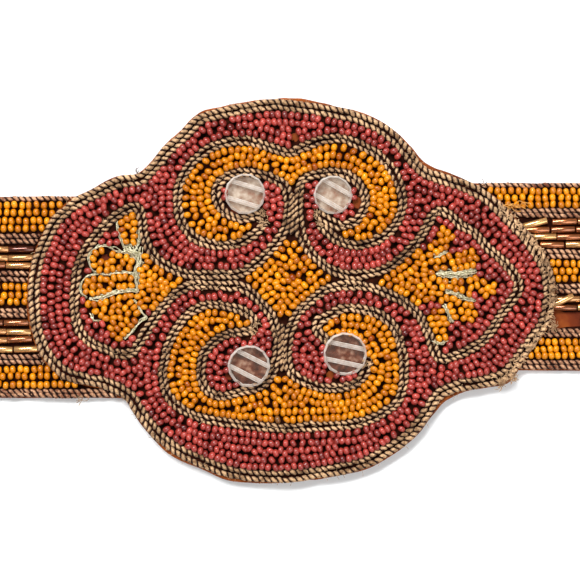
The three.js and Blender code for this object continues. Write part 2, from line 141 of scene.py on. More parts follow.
# Single strands that fill the wedges between two cord pairs, above and below the diamond.
WEDGE_STRANDS = [[(293.5, 194), (293, 214), (291.5, 234)], [(282.5, 325), (282, 345), (282, 370)]]

# Each stone's middle on the chart, its size as a share of STONE, and the slant of its thread holes.
STONES = [
    {"node": "stone_upper_left", "at": (245, 194), "size": 0.98, "slant": -17},
    {"node": "stone_upper_right", "at": (333, 195), "size": 0.93, "slant": -30},
    {"node": "stone_lower_left", "at": (249, 366), "size": 1.02, "slant": -27},
    {"node": "stone_lower_right", "at": (345, 354), "size": 1.05, "slant": -12},
]

# Where strands run side by side or meet at a tip, no bead lies between them.
CLOSED_PLACES = [
    ((293.5, 190), (293.5, 236)), ((282, 322), (282, 368)), ((192, 280), (238, 280)),
    ((342, 280), (368, 280)), ((262, 214), (264, 223)), ((318, 214), (321, 225.5)),
    ((253, 331), (256, 323)), ((329, 341), (345, 354)), ((367.5, 362), (345, 354)),
]

# The fields of beads: chart points inside each, whether it starts out red, and the node it stands for.
FIELDS = [
    {"node": "red_ground_beads", "inside": [(290, 125), (224, 196), (352, 208)], "red": True},
    {"node": "yellow_upper_scroll_beads", "inside": [(290, 168)], "red": False},
    {"node": "yellow_lower_scroll_beads", "inside": [(290, 405)], "red": False},
    {"node": "yellow_diamond_beads", "inside": [(290, 276)], "red": False},
    {"node": "left_fan_beads", "inside": [(120, 285)], "red": True},
    {"node": "right_fan_beads", "inside": [(480, 290)], "red": True},
]

# The yellow figure in each fan, as round-ended strokes: two chart points and half the stroke's width.
FAN_STROKES = [
    ((165, 286), (182, 283), 30), ((152, 270), (158, 274), 16), ((127, 222), (129, 243), 10),
    ((98, 257), (126, 263), 13), ((89, 287), (129, 284), 10.5), ((101, 309), (133, 307), 13.5),
    ((116, 330), (133, 317), 10),
    ((384, 281), (414, 277), 30), ((436, 246), (446, 236), 9), ((444, 265), (471, 259), 9.5),
    ((445, 284), (486, 287), 9), ((445, 300), (466, 313), 9.5), ((438, 317), (442, 334), 9),
]

# Bare spots in the bead fields, where leather shows: a chart point and a radius in chart pixels.
BARE_SPOTS = [
    ((295, 137), 4.5), ((235, 211), 4), ((358, 203), 5), ((229, 376), 4), ((330, 375), 4), ((105, 259), 4.5),
]

# Where the panel's leather shows past its plain margin: a chart point, then the reach and the spread in
# millimetres.
LEATHER_EDGE = [
    ((305, 102), 0.7, 6), ((29, 300), 0.4, 9), ((173, 454), 0.6, 6), ((230, 479), 0.6, 7),
    ((445, 398), 1.0, 5), ((426, 167), 0.6, 4), ((446, 182), 0.5, 4), ((508, 378), 0.7, 4),
]

# The stripes of each band, as nodes of the solid model and the rows in them.
BAND_STRIPES = {
    "left": {
        "seed": [("left_seed_beads_1", 4), ("left_seed_beads_2", 3), ("left_seed_beads_3", 3)],
        "bugle": [("left_bugle_beads_1", 3), ("left_bugle_beads_2", 4)],
        "cord": [("left_cord_1", 1)] + [(f"left_cord_{n}", 2) for n in range(2, 7)],
    },
    "right": {
        "seed": [("right_seed_beads_1", 3), ("right_seed_beads_2", 3), ("right_seed_beads_3", 3)],
        "bugle": [("right_bugle_beads_1", 4), ("right_bugle_beads_2", 4)],
        "cord": [("right_cord_1", 1)] + [(f"right_cord_{n}", 2) for n in range(2, 7)],
    },
}
SIGNS = {"left": -1, "right": 1}
NEAR_PANEL = 20  # mm of each row beside the panel that are made finer
WORN_STRIPE = ("right_bugle_beads_2", 2)  # its lowest rows stop short of the panel
GAPPED_ROW = ("right_bugle_beads_1", 3, 553)  # it starts at this chart x, past the askew bugles

# Bugle beads that lie askew beside the panel: their two ends on the chart.
ASKEW_BUGLES = [((521, 227), (550, 219.5)), ((556, 304), (569, 298))]

# Where frayed leather and cord ends stand out, with the number of fibres, and where dark thread ends show.
TUFTS = [
    ((512, 378), 34), ((500, 384), 34), ((82, 399), 9), ((552, 300), 24), ((552, 325), 30), ((543, 262), 24),
]
DARK_ENDS = [(482, 185), (138, 174)]

# Tinsel in the fans, which no bead covers: the strands side by side, half the bundle's width in millimetres
# and its route.
TINSEL = [
    (5, 0.3, [
        (143, 264), (133, 253), (119, 251), (106, 246), (95, 248), (90, 254), (89, 262), (93, 270), (99, 274),
    ]),
    (5, 0.3, [(99, 274), (108, 275), (119, 272), (131, 273), (139, 277)]),
    (4, 0.2, [(99, 274), (88, 276), (82, 284), (81, 292), (87, 298)]),
    (12, 0.5, [(90, 299), (99, 298), (107, 296), (116, 293), (126, 291), (138, 291)]),
    (9, 0.45, [(140, 247), (139, 261), (136, 269), (137, 280), (137, 292)]),
    (22, 1.0, [(125, 249), (131, 251), (137, 257), (139, 262)]),
    (4, 0.25, [(117, 222), (119, 232), (124, 246), (134, 250), (139, 242), (138, 230)]),
    (6, 0.35, [(134, 300), (142, 312), (146, 317), (141, 321), (133, 331), (124, 339)]),
    (4, 0.3, [(92, 313), (94, 320), (102, 320)]),
    (26, 0.95, [(438, 274), (448, 275), (460, 275), (474, 272)]),
    (12, 0.6, [(445, 292), (455, 294), (466, 299), (474, 301)]),
    (12, 0.55, [(443, 305), (447, 312), (451, 322)]),
    (8, 0.4, [(434, 257), (440, 255), (447, 252)]),
    (5, 0.3, [(433, 341), (441, 344), (447, 341)]),
]


def box_mm(node):
    """A node's lowest and highest corner in millimetres."""
    low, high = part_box(node)
    return np.array(low[:]) / MM, np.array(high[:]) / MM


def smooth(points, closed=False, step=0.5):
    """A centripetal curve through flat points, as evenly spaced points.

    A closed one doesn't repeat its first point.
    """
    p = np.asarray(points, float)
    before, after = (p[-1:], p[:2]) if closed else (2 * p[:1] - p[1:2], 2 * p[-1:] - p[-2:-1])
    ring = np.vstack([before, p, after])
    u = np.linspace(0, 1, 14, endpoint=False)[:, None]
    stretches = []
    for a, b, c, d in zip(ring, ring[1:], ring[2:], ring[3:]):
        before, here, after = (math.sqrt(max(np.hypot(*v), 1e-9)) for v in (b - a, c - b, d - c))
        leave = ((b - a) / before - (c - a) / (before + here) + (c - b) / here) * here
        arrive = ((c - b) / here - (d - b) / (here + after) + (d - c) / after) * here
        bend = 3 * (c - b) - 2 * leave - arrive
        stretches.append(b + u * leave + u**2 * bend + u**3 * (2 * (b - c) + leave + arrive))
    line = np.vstack(stretches + [ring[-2:-1]])
    length = np.concatenate([[0], np.cumsum(np.hypot(*np.diff(line, axis=0).T))])
    count = max(2, round(length[-1] / step))
    at = np.linspace(0, length[-1], count + 1)
    even = np.column_stack([np.interp(at, length, line[:, 0]), np.interp(at, length, line[:, 1])])
    return even[:-1] if closed else even


CHART_BORDER = smooth(BORDER_ROUTE, closed=True, step=2)
CHART_LOW, CHART_HIGH = CHART_BORDER.min(0), CHART_BORDER.max(0)
PANEL_LOW, PANEL_HIGH = box_mm("panel_backing")


def place(points):
    """Chart points in millimetres: shares of the panel's length and height, its margin left out."""
    share = (np.asarray(points, float) - (CHART_LOW + CHART_HIGH) / 2) / (CHART_HIGH - CHART_LOW)
    size = (PANEL_HIGH - PANEL_LOW)[:2] - 2 * PANEL_MARGIN
    return share * size * (1, -1) + (PANEL_LOW + PANEL_HIGH)[:2] / 2


def left_of(line, closed=False):
    """For each point of a line, the unit direction to its left."""
    along = np.roll(line, -1, 0) - np.roll(line, 1, 0) if closed else np.gradient(line, axis=0)
    along /= np.maximum(np.hypot(*along.T), 1e-9)[:, None]
    return np.column_stack([-along[:, 1], along[:, 0]])


def inwards(loop, distance):
    """A closed line moved inwards by a distance, or by one distance a point."""
    x, y = loop.T
    turn = np.sign(np.sum(x * np.roll(y, -1) - y * np.roll(x, -1)))
    return loop + left_of(loop, closed=True) * turn * np.reshape(distance, (-1, 1))


BORDER = smooth(place(BORDER_ROUTE), closed=True, step=0.5)
ROUTES = {name: smooth(place(route), step=0.5) for name, route in CORD_ROUTES.items()}
PANEL_OUTLINE = inwards(BORDER, -PANEL_MARGIN)


def panel_edge(y, side):
    """How far along X the panel reaches at a height y, to the left (-1) or the right (1)."""
    x0, y0 = PANEL_OUTLINE.T
    x1, y1 = np.roll(PANEL_OUTLINE, -1, 0).T
    crosses = (y0 - y) * (y1 - y) <= 0
    x = x0[crosses] + (x1 - x0)[crosses] * ((y - y0) / np.where(y1 == y0, 1, y1 - y0))[crosses]
    return x[np.argmax(x * side)]


def wobble(line, amount, pitch, rng):
    """A line that wanders sideways a little, as what is sewn by hand does. pitch is the length of one wave."""
    steps = np.hypot(*np.diff(line[:, :2], axis=0).T)
    at = np.concatenate([[0], np.cumsum(steps)])
    knots = np.arange(0, at[-1] + 2 * pitch, pitch)
    shift = np.interp(at, knots, rng.normal(0, amount, len(knots)))
    moved = line.copy()
    moved[:, :2] += left_of(line[:, :2]) * shift[:, None]
    return moved


def add_node(tree, kind, links=None, **settings):
    """Adds a node with its settings. links fills its sockets with a node, a socket or a value."""
    made = tree.nodes.new(kind)
    for name, value in settings.items():
        setattr(made, name, value)
    for name, value in (links or {}).items():
        if isinstance(value, bpy.types.Node):
            value = value.outputs[0]
        if isinstance(value, bpy.types.NodeSocket):
            tree.links.new(value, made.inputs[name])
        else:
            made.inputs[name].default_value = value
    return made


def linear(colour):
    """An sRGB hex colour as linear red, green, blue and alpha."""
    parts = [int(colour[i : i + 2], 16) / 255 for i in (1, 3, 5)]
    return [p / 12.92 if p <= 0.04045 else ((p + 0.055) / 1.055) ** 2.4 for p in parts] + [1.0]


def new_material(name, **sockets):
    """A material with its shader, whose plain values are set on the shader's own sockets."""
    material = bpy.data.materials.new(name)
    material.use_nodes = True
    tree = material.node_tree
    shader = tree.nodes["Principled BSDF"]
    for socket, value in sockets.items():
        shader.inputs[socket.replace("_", " ")].default_value = value
    return material, tree, shader


def paint(tree, shader, factor, *stops):
    """Colours the shader by a ramp, with stops of place and colour, a hex one or one that is linear already."""
    made = add_node(tree, "ShaderNodeValToRGB", {0: factor})
    elements = made.color_ramp.elements
    while len(elements) < len(stops):
        elements.new(0.5)
    for element, (position, colour) in zip(elements, stops):
        element.position = position
        element.color = linear(colour) if isinstance(colour, str) else colour
    tree.links.new(made.outputs[0], shader.inputs["Base Color"])


def chosen(name):
    """One of the belt's colours as the user has set it."""
    return (*getattr(bpy.context.scene.belt_colours, name), 1.0)


def bump(tree, shader, height, strength, distance_mm):
    values = {"Height": height, "Strength": strength, "Distance": distance_mm * MM}
    made = add_node(tree, "ShaderNodeBump", values)
    tree.links.new(made.outputs["Normal"], shader.inputs["Normal"])


def on_object(tree):
    """The place on the object, in metres."""
    return add_node(tree, "ShaderNodeTexCoord").outputs["Object"]


def noise(tree, size_mm, detail=2.0):
    """Noise whose grains are about size_mm wide on the object."""
    values = {"Vector": on_object(tree), "Scale": 1 / (size_mm * MM), "Detail": detail}
    return add_node(tree, "ShaderNodeTexNoise", values)


def tone(tree):
    """Each bead's own tone, from 0 for the darkest to 1 for the lightest."""
    return add_node(tree, "ShaderNodeAttribute", attribute_name="tone").outputs["Fac"]


def bead_glass(name, *stops, glow="#000000", scatter=0.0, shine=0.5):
    """Opaque drawn glass, tumbled: each bead has one small bright spot, and no two match in colour."""
    material, tree, shader = new_material(
        name, Roughness=0.25, IOR=1.52, Specular_IOR_Level=shine, Coat_Weight=0.3, Coat_Roughness=0.08,
        Subsurface_Weight=scatter, Subsurface_Scale=0.6 * MM,
    )
    shader.inputs["Subsurface Radius"].default_value = linear(glow)[:3]
    paint(tree, shader, tone(tree), *stops)
    bump(tree, shader, noise(tree, 0.5), 0.25, 0.05)
    return material


def copper_glass():
    """Bugle glass lined with copper: metal bright under a clear skin, with a long streak of light along it."""
    material, tree, shader = new_material(
        "copper_lined_bugle_glass", Metallic=0.75, Roughness=0.22, Coat_Weight=1.0, Coat_Roughness=0.05
    )
    stops = ((0.0, "copper_dark"), (0.4, "copper_middle"), (1.0, "copper_light"))
    paint(tree, shader, tone(tree), *((position, chosen(colour)) for position, colour in stops))
    bump(tree, shader, noise(tree, 0.9), 0.3, 0.04)
    return material


def yarn(name, dark, light, sheen):
    """Mercerised thread: matt with a dull shine, its fibres seen as fine streaks of light and dark."""
    material, tree, shader = new_material(
        name, Roughness=0.72, Specular_IOR_Level=0.2, Sheen_Weight=sheen, Sheen_Roughness=0.4
    )
    soiled = maths(tree, "SUBTRACT", noise(tree, 7.0), 0.5)
    shade = maths(tree, "MULTIPLY_ADD", soiled, 0.9, noise(tree, 0.8, 4.0))
    paint(tree, shader, shade, (0.28, dark), (0.72, light))
    bump(tree, shader, noise(tree, 0.12), 0.6, 0.06)
    return material


def belt_leather(name, *stops):
    """Bark tanned leather: warm brown and cloudy, with a fine pebbled grain and darker rubbed places."""
    material, tree, shader = new_material(name, Roughness=0.62, Specular_IOR_Level=0.12)
    paint(tree, shader, noise(tree, 9.0, 5.0), *stops)
    grain = add_node(tree, "ShaderNodeTexVoronoi", {"Vector": on_object(tree), "Scale": 1 / (0.55 * MM)})
    bump(tree, shader, grain.outputs["Distance"], 0.5, 0.08)
    return material


def shadowed_leather():
    """The same leather under the beads, painted near black: painted shade between the beads, and the dark
    thread.
    """
    material, tree, shader = new_material("thread_and_painted_shade_under_beads", Roughness=0.8, Specular_IOR_Level=0.05)
    # Painted shade: near-black browns where the beads shade the leather, with the dark of the thread.
    paint(tree, shader, noise(tree, 3.0, 4.0), (0.35, "#140502"), (0.75, "#3A1407"))
    bump(tree, shader, noise(tree, 0.4), 0.6, 0.1)
    return material


def table_glass():
    """The polished face of a cut stone: almost clear, with a hard bright reflection."""
    material, tree, shader = new_material(
        "polished_glass_table", Roughness=0.04, IOR=1.52, Alpha=0.07, Coat_Weight=1.0, Coat_Roughness=0.02
    )
    paint(tree, shader, noise(tree, 2.0, 3.0), (0.3, "#A87C60"), (0.7, "#D8BCA8"))
    return material


def hazy_glass():
    """The depth of a cut stone: the leather as a soft brown under glass gone milky, most in the upper two."""
    material, tree, shader = new_material("hazy_cut_glass", Roughness=0.15, IOR=1.52)
    place_on = add_node(tree, "ShaderNodeSeparateXYZ", {0: on_object(tree)})
    cloud = maths(tree, "MULTIPLY_ADD", noise(tree, 2.0, 5.0), 0.6, 0.2)
    haze = maths(tree, "MULTIPLY_ADD", place_on.outputs["Y"], 4.0, cloud)
    browns = (0.34, "#2C1009"), (0.44, "#5E2E1C"), (0.51, "#8A6450"), (0.6, "#A28C7A"), (0.72, "#CABBA9")
    paint(tree, shader, haze, *browns)
    return material


def ground_glass(name, colour, alpha):
    """Glass with a ground, unpolished face: milky and matt."""
    material, tree, shader = new_material(name, Roughness=0.45, IOR=1.52, Alpha=alpha)
    paint(tree, shader, noise(tree, 1.2, 3.0), (0.3, colour), (0.8, "#FFFAF4"))
    bump(tree, shader, noise(tree, 0.15), 0.5, 0.05)
    return material


def tinsel_metal():
    """Flat gilt strip wound on thread: a pale greenish gold that glints in short dashes."""
    material, tree, shader = new_material("gilt_tinsel", Metallic=0.5, Roughness=0.4)
    paint(tree, shader, noise(tree, 0.5), (0.35, "#A2976A"), (0.65, "#F2ECCE"))
    return material


def plated_metal():
    """Nickel plated sheet, lightly brushed along its length: grey with soft streaks."""
    material, tree, shader = new_material("brushed_nickel_plate", Metallic=1.0, Roughness=0.4)
    long = add_node(tree, "ShaderNodeMapping", {"Vector": on_object(tree), "Scale": (300, 6000, 6000)})
    streaks = add_node(tree, "ShaderNodeTexNoise", {"Vector": long, "Scale": 1.0, "Detail": 3.0})
    paint(tree, shader, streaks, (0.3, "#7C7972"), (0.7, "#A6A39A"))
    bump(tree, shader, streaks, 0.3, 0.02)
    return material


def paper():
    """Matt white card: nearly white, so only the belt's own soft shadow shows on it."""
    material, tree, shader = new_material("white_card", Roughness=0.9, Specular_IOR_Level=0.1)
    paint(tree, shader, noise(tree, 60.0), (0.3, "#F6F9F9"), (0.7, "#FDFEFE"))
    return material


MAKERS = {
    "red_glass": lambda: bead_glass(
        "brick_red_bead_glass", (0.0, chosen("red_dark")), (1.0, chosen("red_light")), glow="#FF3020",
        scatter=0.06,
    ),
    "yellow_glass": lambda: bead_glass(
        "egg_yellow_bead_glass", (0.0, chosen("yellow_dark")), (1.0, chosen("yellow_light")), glow="#FF8A10",
        scatter=0.06, shine=0.3,
    ),
    "pale_glass": lambda: bead_glass("dull_brown_bead_glass", (0.0, "#7A4C22"), (1.0, "#B88A50")),
    "copper": copper_glass,
    "tan_ply": lambda: yarn("tan_cotton_ply", chosen("panel_cord_dark"), chosen("panel_cord_light"), 0.1),
    "black_ply": lambda: yarn("black_cotton_ply", "#1A0803", "#331409", 0.0),
    "mauve_ply": lambda: yarn("faded_mauve_ply", chosen("band_cord_dark"), chosen("band_cord_light"), 0.1),
    "thread": lambda: yarn("linen_thread", "#C9B69A", "#F0E6D4", 0.2),
    "gold_thread": lambda: yarn("yellow_silk_thread", "#A8641C", "#E4AA58", 0.1),
    "leather": lambda: belt_leather(
        "bark_tanned_leather", (0.3, chosen("leather_dark")), (0.75, chosen("leather_light"))
    ),
    # A darker copy of the leather for the bare places: oily, and darkened as painted shade beside the panel's
    # edge and among the beads.
    "worn_shaded_leather": lambda: belt_leather(
        "worn_oily_leather_painted_shade", (0.3, "#481604"), (0.55, "#6C2A0A"), (0.75, "#904816")
    ),
    "dark_leather": shadowed_leather,
    "glass": table_glass,
    "haze": hazy_glass,
    "rim_glass": lambda: ground_glass("ground_glass_rim", "#D6CABA", 0.75),
    "hole_glass": lambda: ground_glass("ground_thread_hole", "#CDBCAC", 0.38),
    "tinsel": tinsel_metal,
    "metal": plated_metal,
    "paper": paper,
}
made_materials = {}


def finish(name):
    """The material of that name, made the first time it is asked for."""
    if name not in made_materials:
        made_materials[name] = MAKERS[name]()
    return made_materials[name]


def new_object(name, mesh, *materials):
    made = bpy.data.objects.new(name, mesh)
    bpy.context.scene.collection.objects.link(made)
    for material in materials:
        mesh.materials.append(material)
    return made


def mesh_of(name, points, faces=(), edges=(), smooth_faces=True):
    """A mesh from points in millimetres."""
    mesh = bpy.data.meshes.new(name)
    mesh.from_pydata((np.asarray(points, float) * MM).tolist(), list(edges), [list(f) for f in faces])
    if smooth_faces:
        mesh.polygons.foreach_set("use_smooth", [True] * len(mesh.polygons))
    mesh.update()
    return mesh


def lines_mesh(name, lines):
    """Each line of three-dimensional points as a chain of edges."""
    points = np.vstack(lines)
    edges = []
    start = 0
    for line in lines:
        edges += [(start + i, start + i + 1) for i in range(len(line) - 1)]
        start += len(line)
    return mesh_of(name, points, edges=edges)


def raised(line, height):
    """A flat line lifted to a height."""
    return np.column_stack([line, np.full(len(line), height)])


def lathe_mesh(name, profile, sides):
    """A closed profile of place along X and radius, in millimetres, turned round X."""
    turns = np.arange(sides) * math.tau / sides
    points = [(x, r * math.cos(a), r * math.sin(a)) for a in turns for x, r in profile]
    count = len(profile)
    faces = []
    for k in range(sides):
        here, there = k * count, (k + 1) % sides * count
        for i in range(count):
            j = (i + 1) % count
            faces.append((here + i, here + j, there + j, there + i))
    mesh = mesh_of(name, points, faces)
    outward_faces(mesh)
    return mesh


def outward_faces(mesh):
    work = bmesh.new()
    work.from_mesh(mesh)
    bmesh.ops.recalc_face_normals(work, faces=work.faces)
    work.to_mesh(mesh)
    work.free()


def new_tree(name, *inputs):
    """A geometry tree and the sockets of its named inputs, each given as name, socket type and default."""
    tree = bpy.data.node_groups.new(name, "GeometryNodeTree")
    tree.interface.new_socket("Geometry", in_out="INPUT", socket_type="NodeSocketGeometry")
    tree.interface.new_socket("Geometry", in_out="OUTPUT", socket_type="NodeSocketGeometry")
    for label, kind, default in inputs:
        socket = tree.interface.new_socket(label, in_out="INPUT", socket_type="NodeSocket" + kind)
        if default is not None:
            socket.default_value = default
    return tree, tree.nodes.new("NodeGroupInput").outputs


def end_tree(tree, geometry, material, *others):
    """Realises the instances and sets the material last. others are pairs of a selection and a material."""
    last = add_node(tree, "GeometryNodeRealizeInstances", {"Geometry": geometry})
    last = add_node(tree, "GeometryNodeSetMaterial", {"Geometry": last, "Material": material})
    for where, other in others:
        values = {"Geometry": last, "Selection": where, "Material": other}
        last = add_node(tree, "GeometryNodeSetMaterial", values)
    add_node(tree, "NodeGroupOutput", {0: last})
    return tree


def random_number(tree, low, high, seed):
    """A random number for each point or instance."""
    made = add_node(tree, "FunctionNodeRandomValue", {2: low, 3: high, 8: seed}, data_type="FLOAT")
    return made.outputs[1]


def maths(tree, operation, *values):
    return add_node(tree, "ShaderNodeMath", dict(enumerate(values)), operation=operation)


def vector_of(tree, x, y, z):
    return add_node(tree, "ShaderNodeCombineXYZ", {"X": x, "Y": y, "Z": z})


def even_curve(tree, edges, length):
    """Edges as curves, with a point at every length."""
    curve = add_node(tree, "GeometryNodeMeshToCurve", {"Mesh": edges})
    return add_node(tree, "GeometryNodeResampleCurve", {"Curve": curve, "Length": length}, mode="LENGTH")


def sewn_beads_tree():
    """One bead on each point, turned as the point's own turn says, with its tone kept for the colour."""
    tree, given = new_tree(
        "sewn_beads", ("Bead", "Object", None), ("Size spread", "Float", 0.05), ("Seed", "Int", 1),
        ("Glass", "Material", None),
    )
    bead = add_node(tree, "GeometryNodeObjectInfo", {"Object": given["Bead"]})
    turn = add_node(tree, "GeometryNodeInputNamedAttribute", {"Name": "turn"}, data_type="FLOAT_VECTOR")
    smallest = maths(tree, "SUBTRACT", 1.0, given["Size spread"])
    largest = maths(tree, "ADD", 1.0, given["Size spread"])
    along = random_number(tree, smallest, largest, given["Seed"])
    across = random_number(tree, smallest, largest, maths(tree, "ADD", given["Seed"], 1.0))
    beads = add_node(
        tree, "GeometryNodeInstanceOnPoints",
        {
            "Points": given["Geometry"], "Instance": bead.outputs["Geometry"], "Rotation": turn,
            "Scale": vector_of(tree, along, across, across),
        },
    )
    return end_tree(tree, beads, given["Glass"])


def bead_rows_tree():
    """Beads strung along lines, a pitch apart, each moved, turned and sized at random, some missing."""
    tree, given = new_tree(
        "bead_rows", ("Bead", "Object", None), ("Pitch", "Float", 0.002), ("Size spread", "Float", 0.05),
        ("Wander", "Float", 0.0001), ("Turn", "Float", 0.1), ("Kept", "Float", 1.0),
        ("Least tone", "Float", 0.0), ("Seed", "Int", 1), ("Glass", "Material", None),
    )
    even = even_curve(tree, given["Geometry"], given["Pitch"])
    bead = add_node(tree, "GeometryNodeObjectInfo", {"Object": given["Bead"]})
    seeds = [maths(tree, "ADD", given["Seed"], float(n)) for n in range(10)]
    wander_less = maths(tree, "MULTIPLY", given["Wander"], -1.0)
    shift = vector_of(
        tree,
        random_number(tree, wander_less, given["Wander"], seeds[0]),
        random_number(tree, wander_less, given["Wander"], seeds[1]),
        maths(tree, "MULTIPLY", random_number(tree, wander_less, given["Wander"], seeds[2]), 0.5),
    )
    tangent = add_node(tree, "GeometryNodeInputTangent")
    forward = add_node(tree, "FunctionNodeAlignRotationToVector", {"Vector": tangent}, axis="X")
    turn_less = maths(tree, "MULTIPLY", given["Turn"], -1.0)
    twist = add_node(
        tree, "FunctionNodeEulerToRotation",
        {
            "Euler": vector_of(
                tree,
                random_number(tree, 0.0, math.tau, seeds[3]),
                maths(tree, "MULTIPLY", random_number(tree, turn_less, given["Turn"], seeds[4]), 0.5),
                random_number(tree, turn_less, given["Turn"], seeds[5]),
            )
        },
    )
    turned = add_node(
        tree, "FunctionNodeRotateRotation", {"Rotation": forward, "Rotate By": twist}, rotation_space="LOCAL"
    )
    smallest = maths(tree, "SUBTRACT", 1.0, given["Size spread"])
    largest = maths(tree, "ADD", 1.0, given["Size spread"])
    along = random_number(tree, smallest, largest, seeds[6])
    across = random_number(tree, smallest, 1.0, seeds[7])
    moved = add_node(tree, "GeometryNodeSetPosition", {"Geometry": even, "Offset": shift})
    kept = maths(tree, "LESS_THAN", random_number(tree, 0.0, 1.0, seeds[8]), given["Kept"])
    beads = add_node(
        tree, "GeometryNodeInstanceOnPoints",
        {
            "Points": moved, "Selection": kept, "Instance": bead.outputs["Geometry"], "Rotation": turned,
            "Scale": vector_of(tree, along, across, across),
        },
    )
    any_tone = random_number(tree, given["Least tone"], 1.0, seeds[9])
    toned = add_node(
        tree, "GeometryNodeStoreNamedAttribute", {"Geometry": beads, "Name": "tone", "Value": any_tone},
        domain="INSTANCE",
    )
    return end_tree(tree, toned, given["Glass"])


def tube(tree, curve, sides, radius):
    """A closed round tube along curves."""
    section = add_node(tree, "GeometryNodeCurvePrimitiveCircle", {"Resolution": sides, "Radius": radius})
    values = {"Curve": curve, "Profile Curve": section, "Fill Caps": True}
    return add_node(tree, "GeometryNodeCurveToMesh", values)


def twisted_cord_tree():
    """A light ply and a dark ply twisted round each other along a line."""
    tree, given = new_tree(
        "twisted_cord", ("Cord size", "Float", 0.0014), ("Twist length", "Float", 0.0018),
        ("Steps a turn", "Float", 6.0), ("Ply sides", "Int", 4), ("Dark share", "Float", 0.42),
        ("Unevenness", "Float", 0.0001), ("Light ply", "Material", None), ("Dark ply", "Material", None),
    )
    step = maths(tree, "DIVIDE", given["Twist length"], given["Steps a turn"])
    even = even_curve(tree, given["Geometry"], step)
    uneven = add_node(tree, "ShaderNodeTexNoise", {"Scale": 450.0, "Detail": 2.0})
    middling = add_node(
        tree, "ShaderNodeVectorMath", {0: uneven.outputs["Color"], 1: (0.5, 0.5, 0.5)}, operation="SUBTRACT"
    )
    strayed = add_node(
        tree, "ShaderNodeVectorMath", {0: middling, "Scale": given["Unevenness"]}, operation="SCALE"
    )
    upright = add_node(tree, "GeometryNodeSetCurveNormal", {"Curve": even}, mode="Z_UP")
    along = add_node(tree, "GeometryNodeSplineParameter").outputs["Length"]
    turn = maths(tree, "MULTIPLY", maths(tree, "DIVIDE", along, given["Twist length"]), math.tau)
    normal = add_node(tree, "GeometryNodeInputNormal").outputs[0]
    tangent = add_node(tree, "GeometryNodeInputTangent")
    light_share = maths(tree, "SUBTRACT", 1.0, given["Dark share"])
    plies = []
    for phase, share in ((0.0, light_share), (math.pi, given["Dark share"])):
        radius = maths(tree, "MULTIPLY", maths(tree, "MULTIPLY", given["Cord size"], share), 0.5)
        reach = maths(tree, "SUBTRACT", maths(tree, "MULTIPLY", given["Cord size"], 0.5), radius)
        angle = maths(tree, "ADD", turn, phase)
        outwards = add_node(
            tree, "ShaderNodeVectorRotate", {"Vector": normal, "Axis": tangent, "Angle": angle},
            rotation_type="AXIS_ANGLE",
        )
        offset = add_node(tree, "ShaderNodeVectorMath", {0: outwards, "Scale": reach}, operation="SCALE")
        moved = add_node(tree, "GeometryNodeSetPosition", {"Geometry": upright, "Offset": offset})
        moved = add_node(tree, "GeometryNodeSetPosition", {"Geometry": moved, "Offset": strayed})
        pressed = maths(tree, "MULTIPLY", radius, PLY_SWELL)
        ply = tube(tree, moved, given["Ply sides"], pressed)
        marked = add_node(
            tree, "GeometryNodeStoreNamedAttribute", {"Geometry": ply, "Name": "dark_ply", "Value": phase},
            domain="FACE",
        )
        plies.append(marked)
    cord = add_node(tree, "GeometryNodeJoinGeometry")
    for ply in reversed(plies):
        tree.links.new(ply.outputs[0], cord.inputs[0])
    mark = add_node(tree, "GeometryNodeInputNamedAttribute", {"Name": "dark_ply"}, data_type="FLOAT")
    dark = maths(tree, "GREATER_THAN", mark, 1.0)
    return end_tree(tree, cord, given["Light ply"], (dark, given["Dark ply"]))


def plain_thread_tree():
    """A thin round thread along each line."""
    tree, given = new_tree(
        "plain_thread", ("Thread size", "Float", 0.0003), ("Sides", "Int", 4), ("Thread", "Material", None)
    )
    curve = add_node(tree, "GeometryNodeMeshToCurve", {"Mesh": given["Geometry"]})
    radius = maths(tree, "MULTIPLY", given["Thread size"], 0.5)
    return end_tree(tree, tube(tree, curve, given["Sides"], radius), given["Thread"])


TREE_MAKERS = {
    "sewn_beads": sewn_beads_tree,
    "bead_rows": bead_rows_tree,
    "twisted_cord": twisted_cord_tree,
    "plain_thread": plain_thread_tree,
}


def grown(name, mesh, tree_name, values):
    """Runs a geometry tree on a mesh, and keeps the result as a plain mesh."""
    tree = bpy.data.node_groups.get(tree_name) or TREE_MAKERS[tree_name]()
    made = new_object(name, mesh)
    modifier = made.modifiers.new(tree_name, "NODES")
    modifier.node_group = tree
    for label, value in values.items():
        modifier[tree.interface.items_tree[label].identifier] = value
    depsgraph = bpy.context.evaluated_depsgraph_get()
    result = bpy.data.meshes.new_from_object(
        made.evaluated_get(depsgraph), preserve_all_data_layers=True, depsgraph=depsgraph
    )
    made.modifiers.clear()
    made.data = result
    result.name = name
    bpy.data.meshes.remove(mesh)
    return made


def joined(name, objects):
    """Several plain objects at the origin as one."""
    work = bmesh.new()
    materials = []
    for item in objects:
        slots = []
        for material in item.data.materials:
            if material not in materials:
                materials.append(material)
            slots.append(materials.index(material))
        first = len(work.faces)
        work.from_mesh(item.data)
        work.faces.ensure_lookup_table()
        for face in work.faces[first:]:
            face.material_index = slots[face.material_index] if slots else 0
        bpy.data.objects.remove(item)
    mesh = bpy.data.meshes.new(name)
    work.to_mesh(mesh)
    work.free()
    return new_object(name, mesh, *materials)


def finish_piece(piece, slot, *nodes):
    """Attaches a piece to the body, and hides the nodes of the solid model that it stands for, if any."""
    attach(piece, BODY)
    if nodes:
        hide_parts(*nodes)


def sew_thread(name, lines, size_mm, sides, look):
    """Plain threads along lines, as one piece."""
    values = {"Thread size": size_mm * MM, "Sides": sides, "Thread": finish(look)}
    finish_piece(grown(name, lines_mesh(name, lines), "plain_thread", values), "twisted_cord")


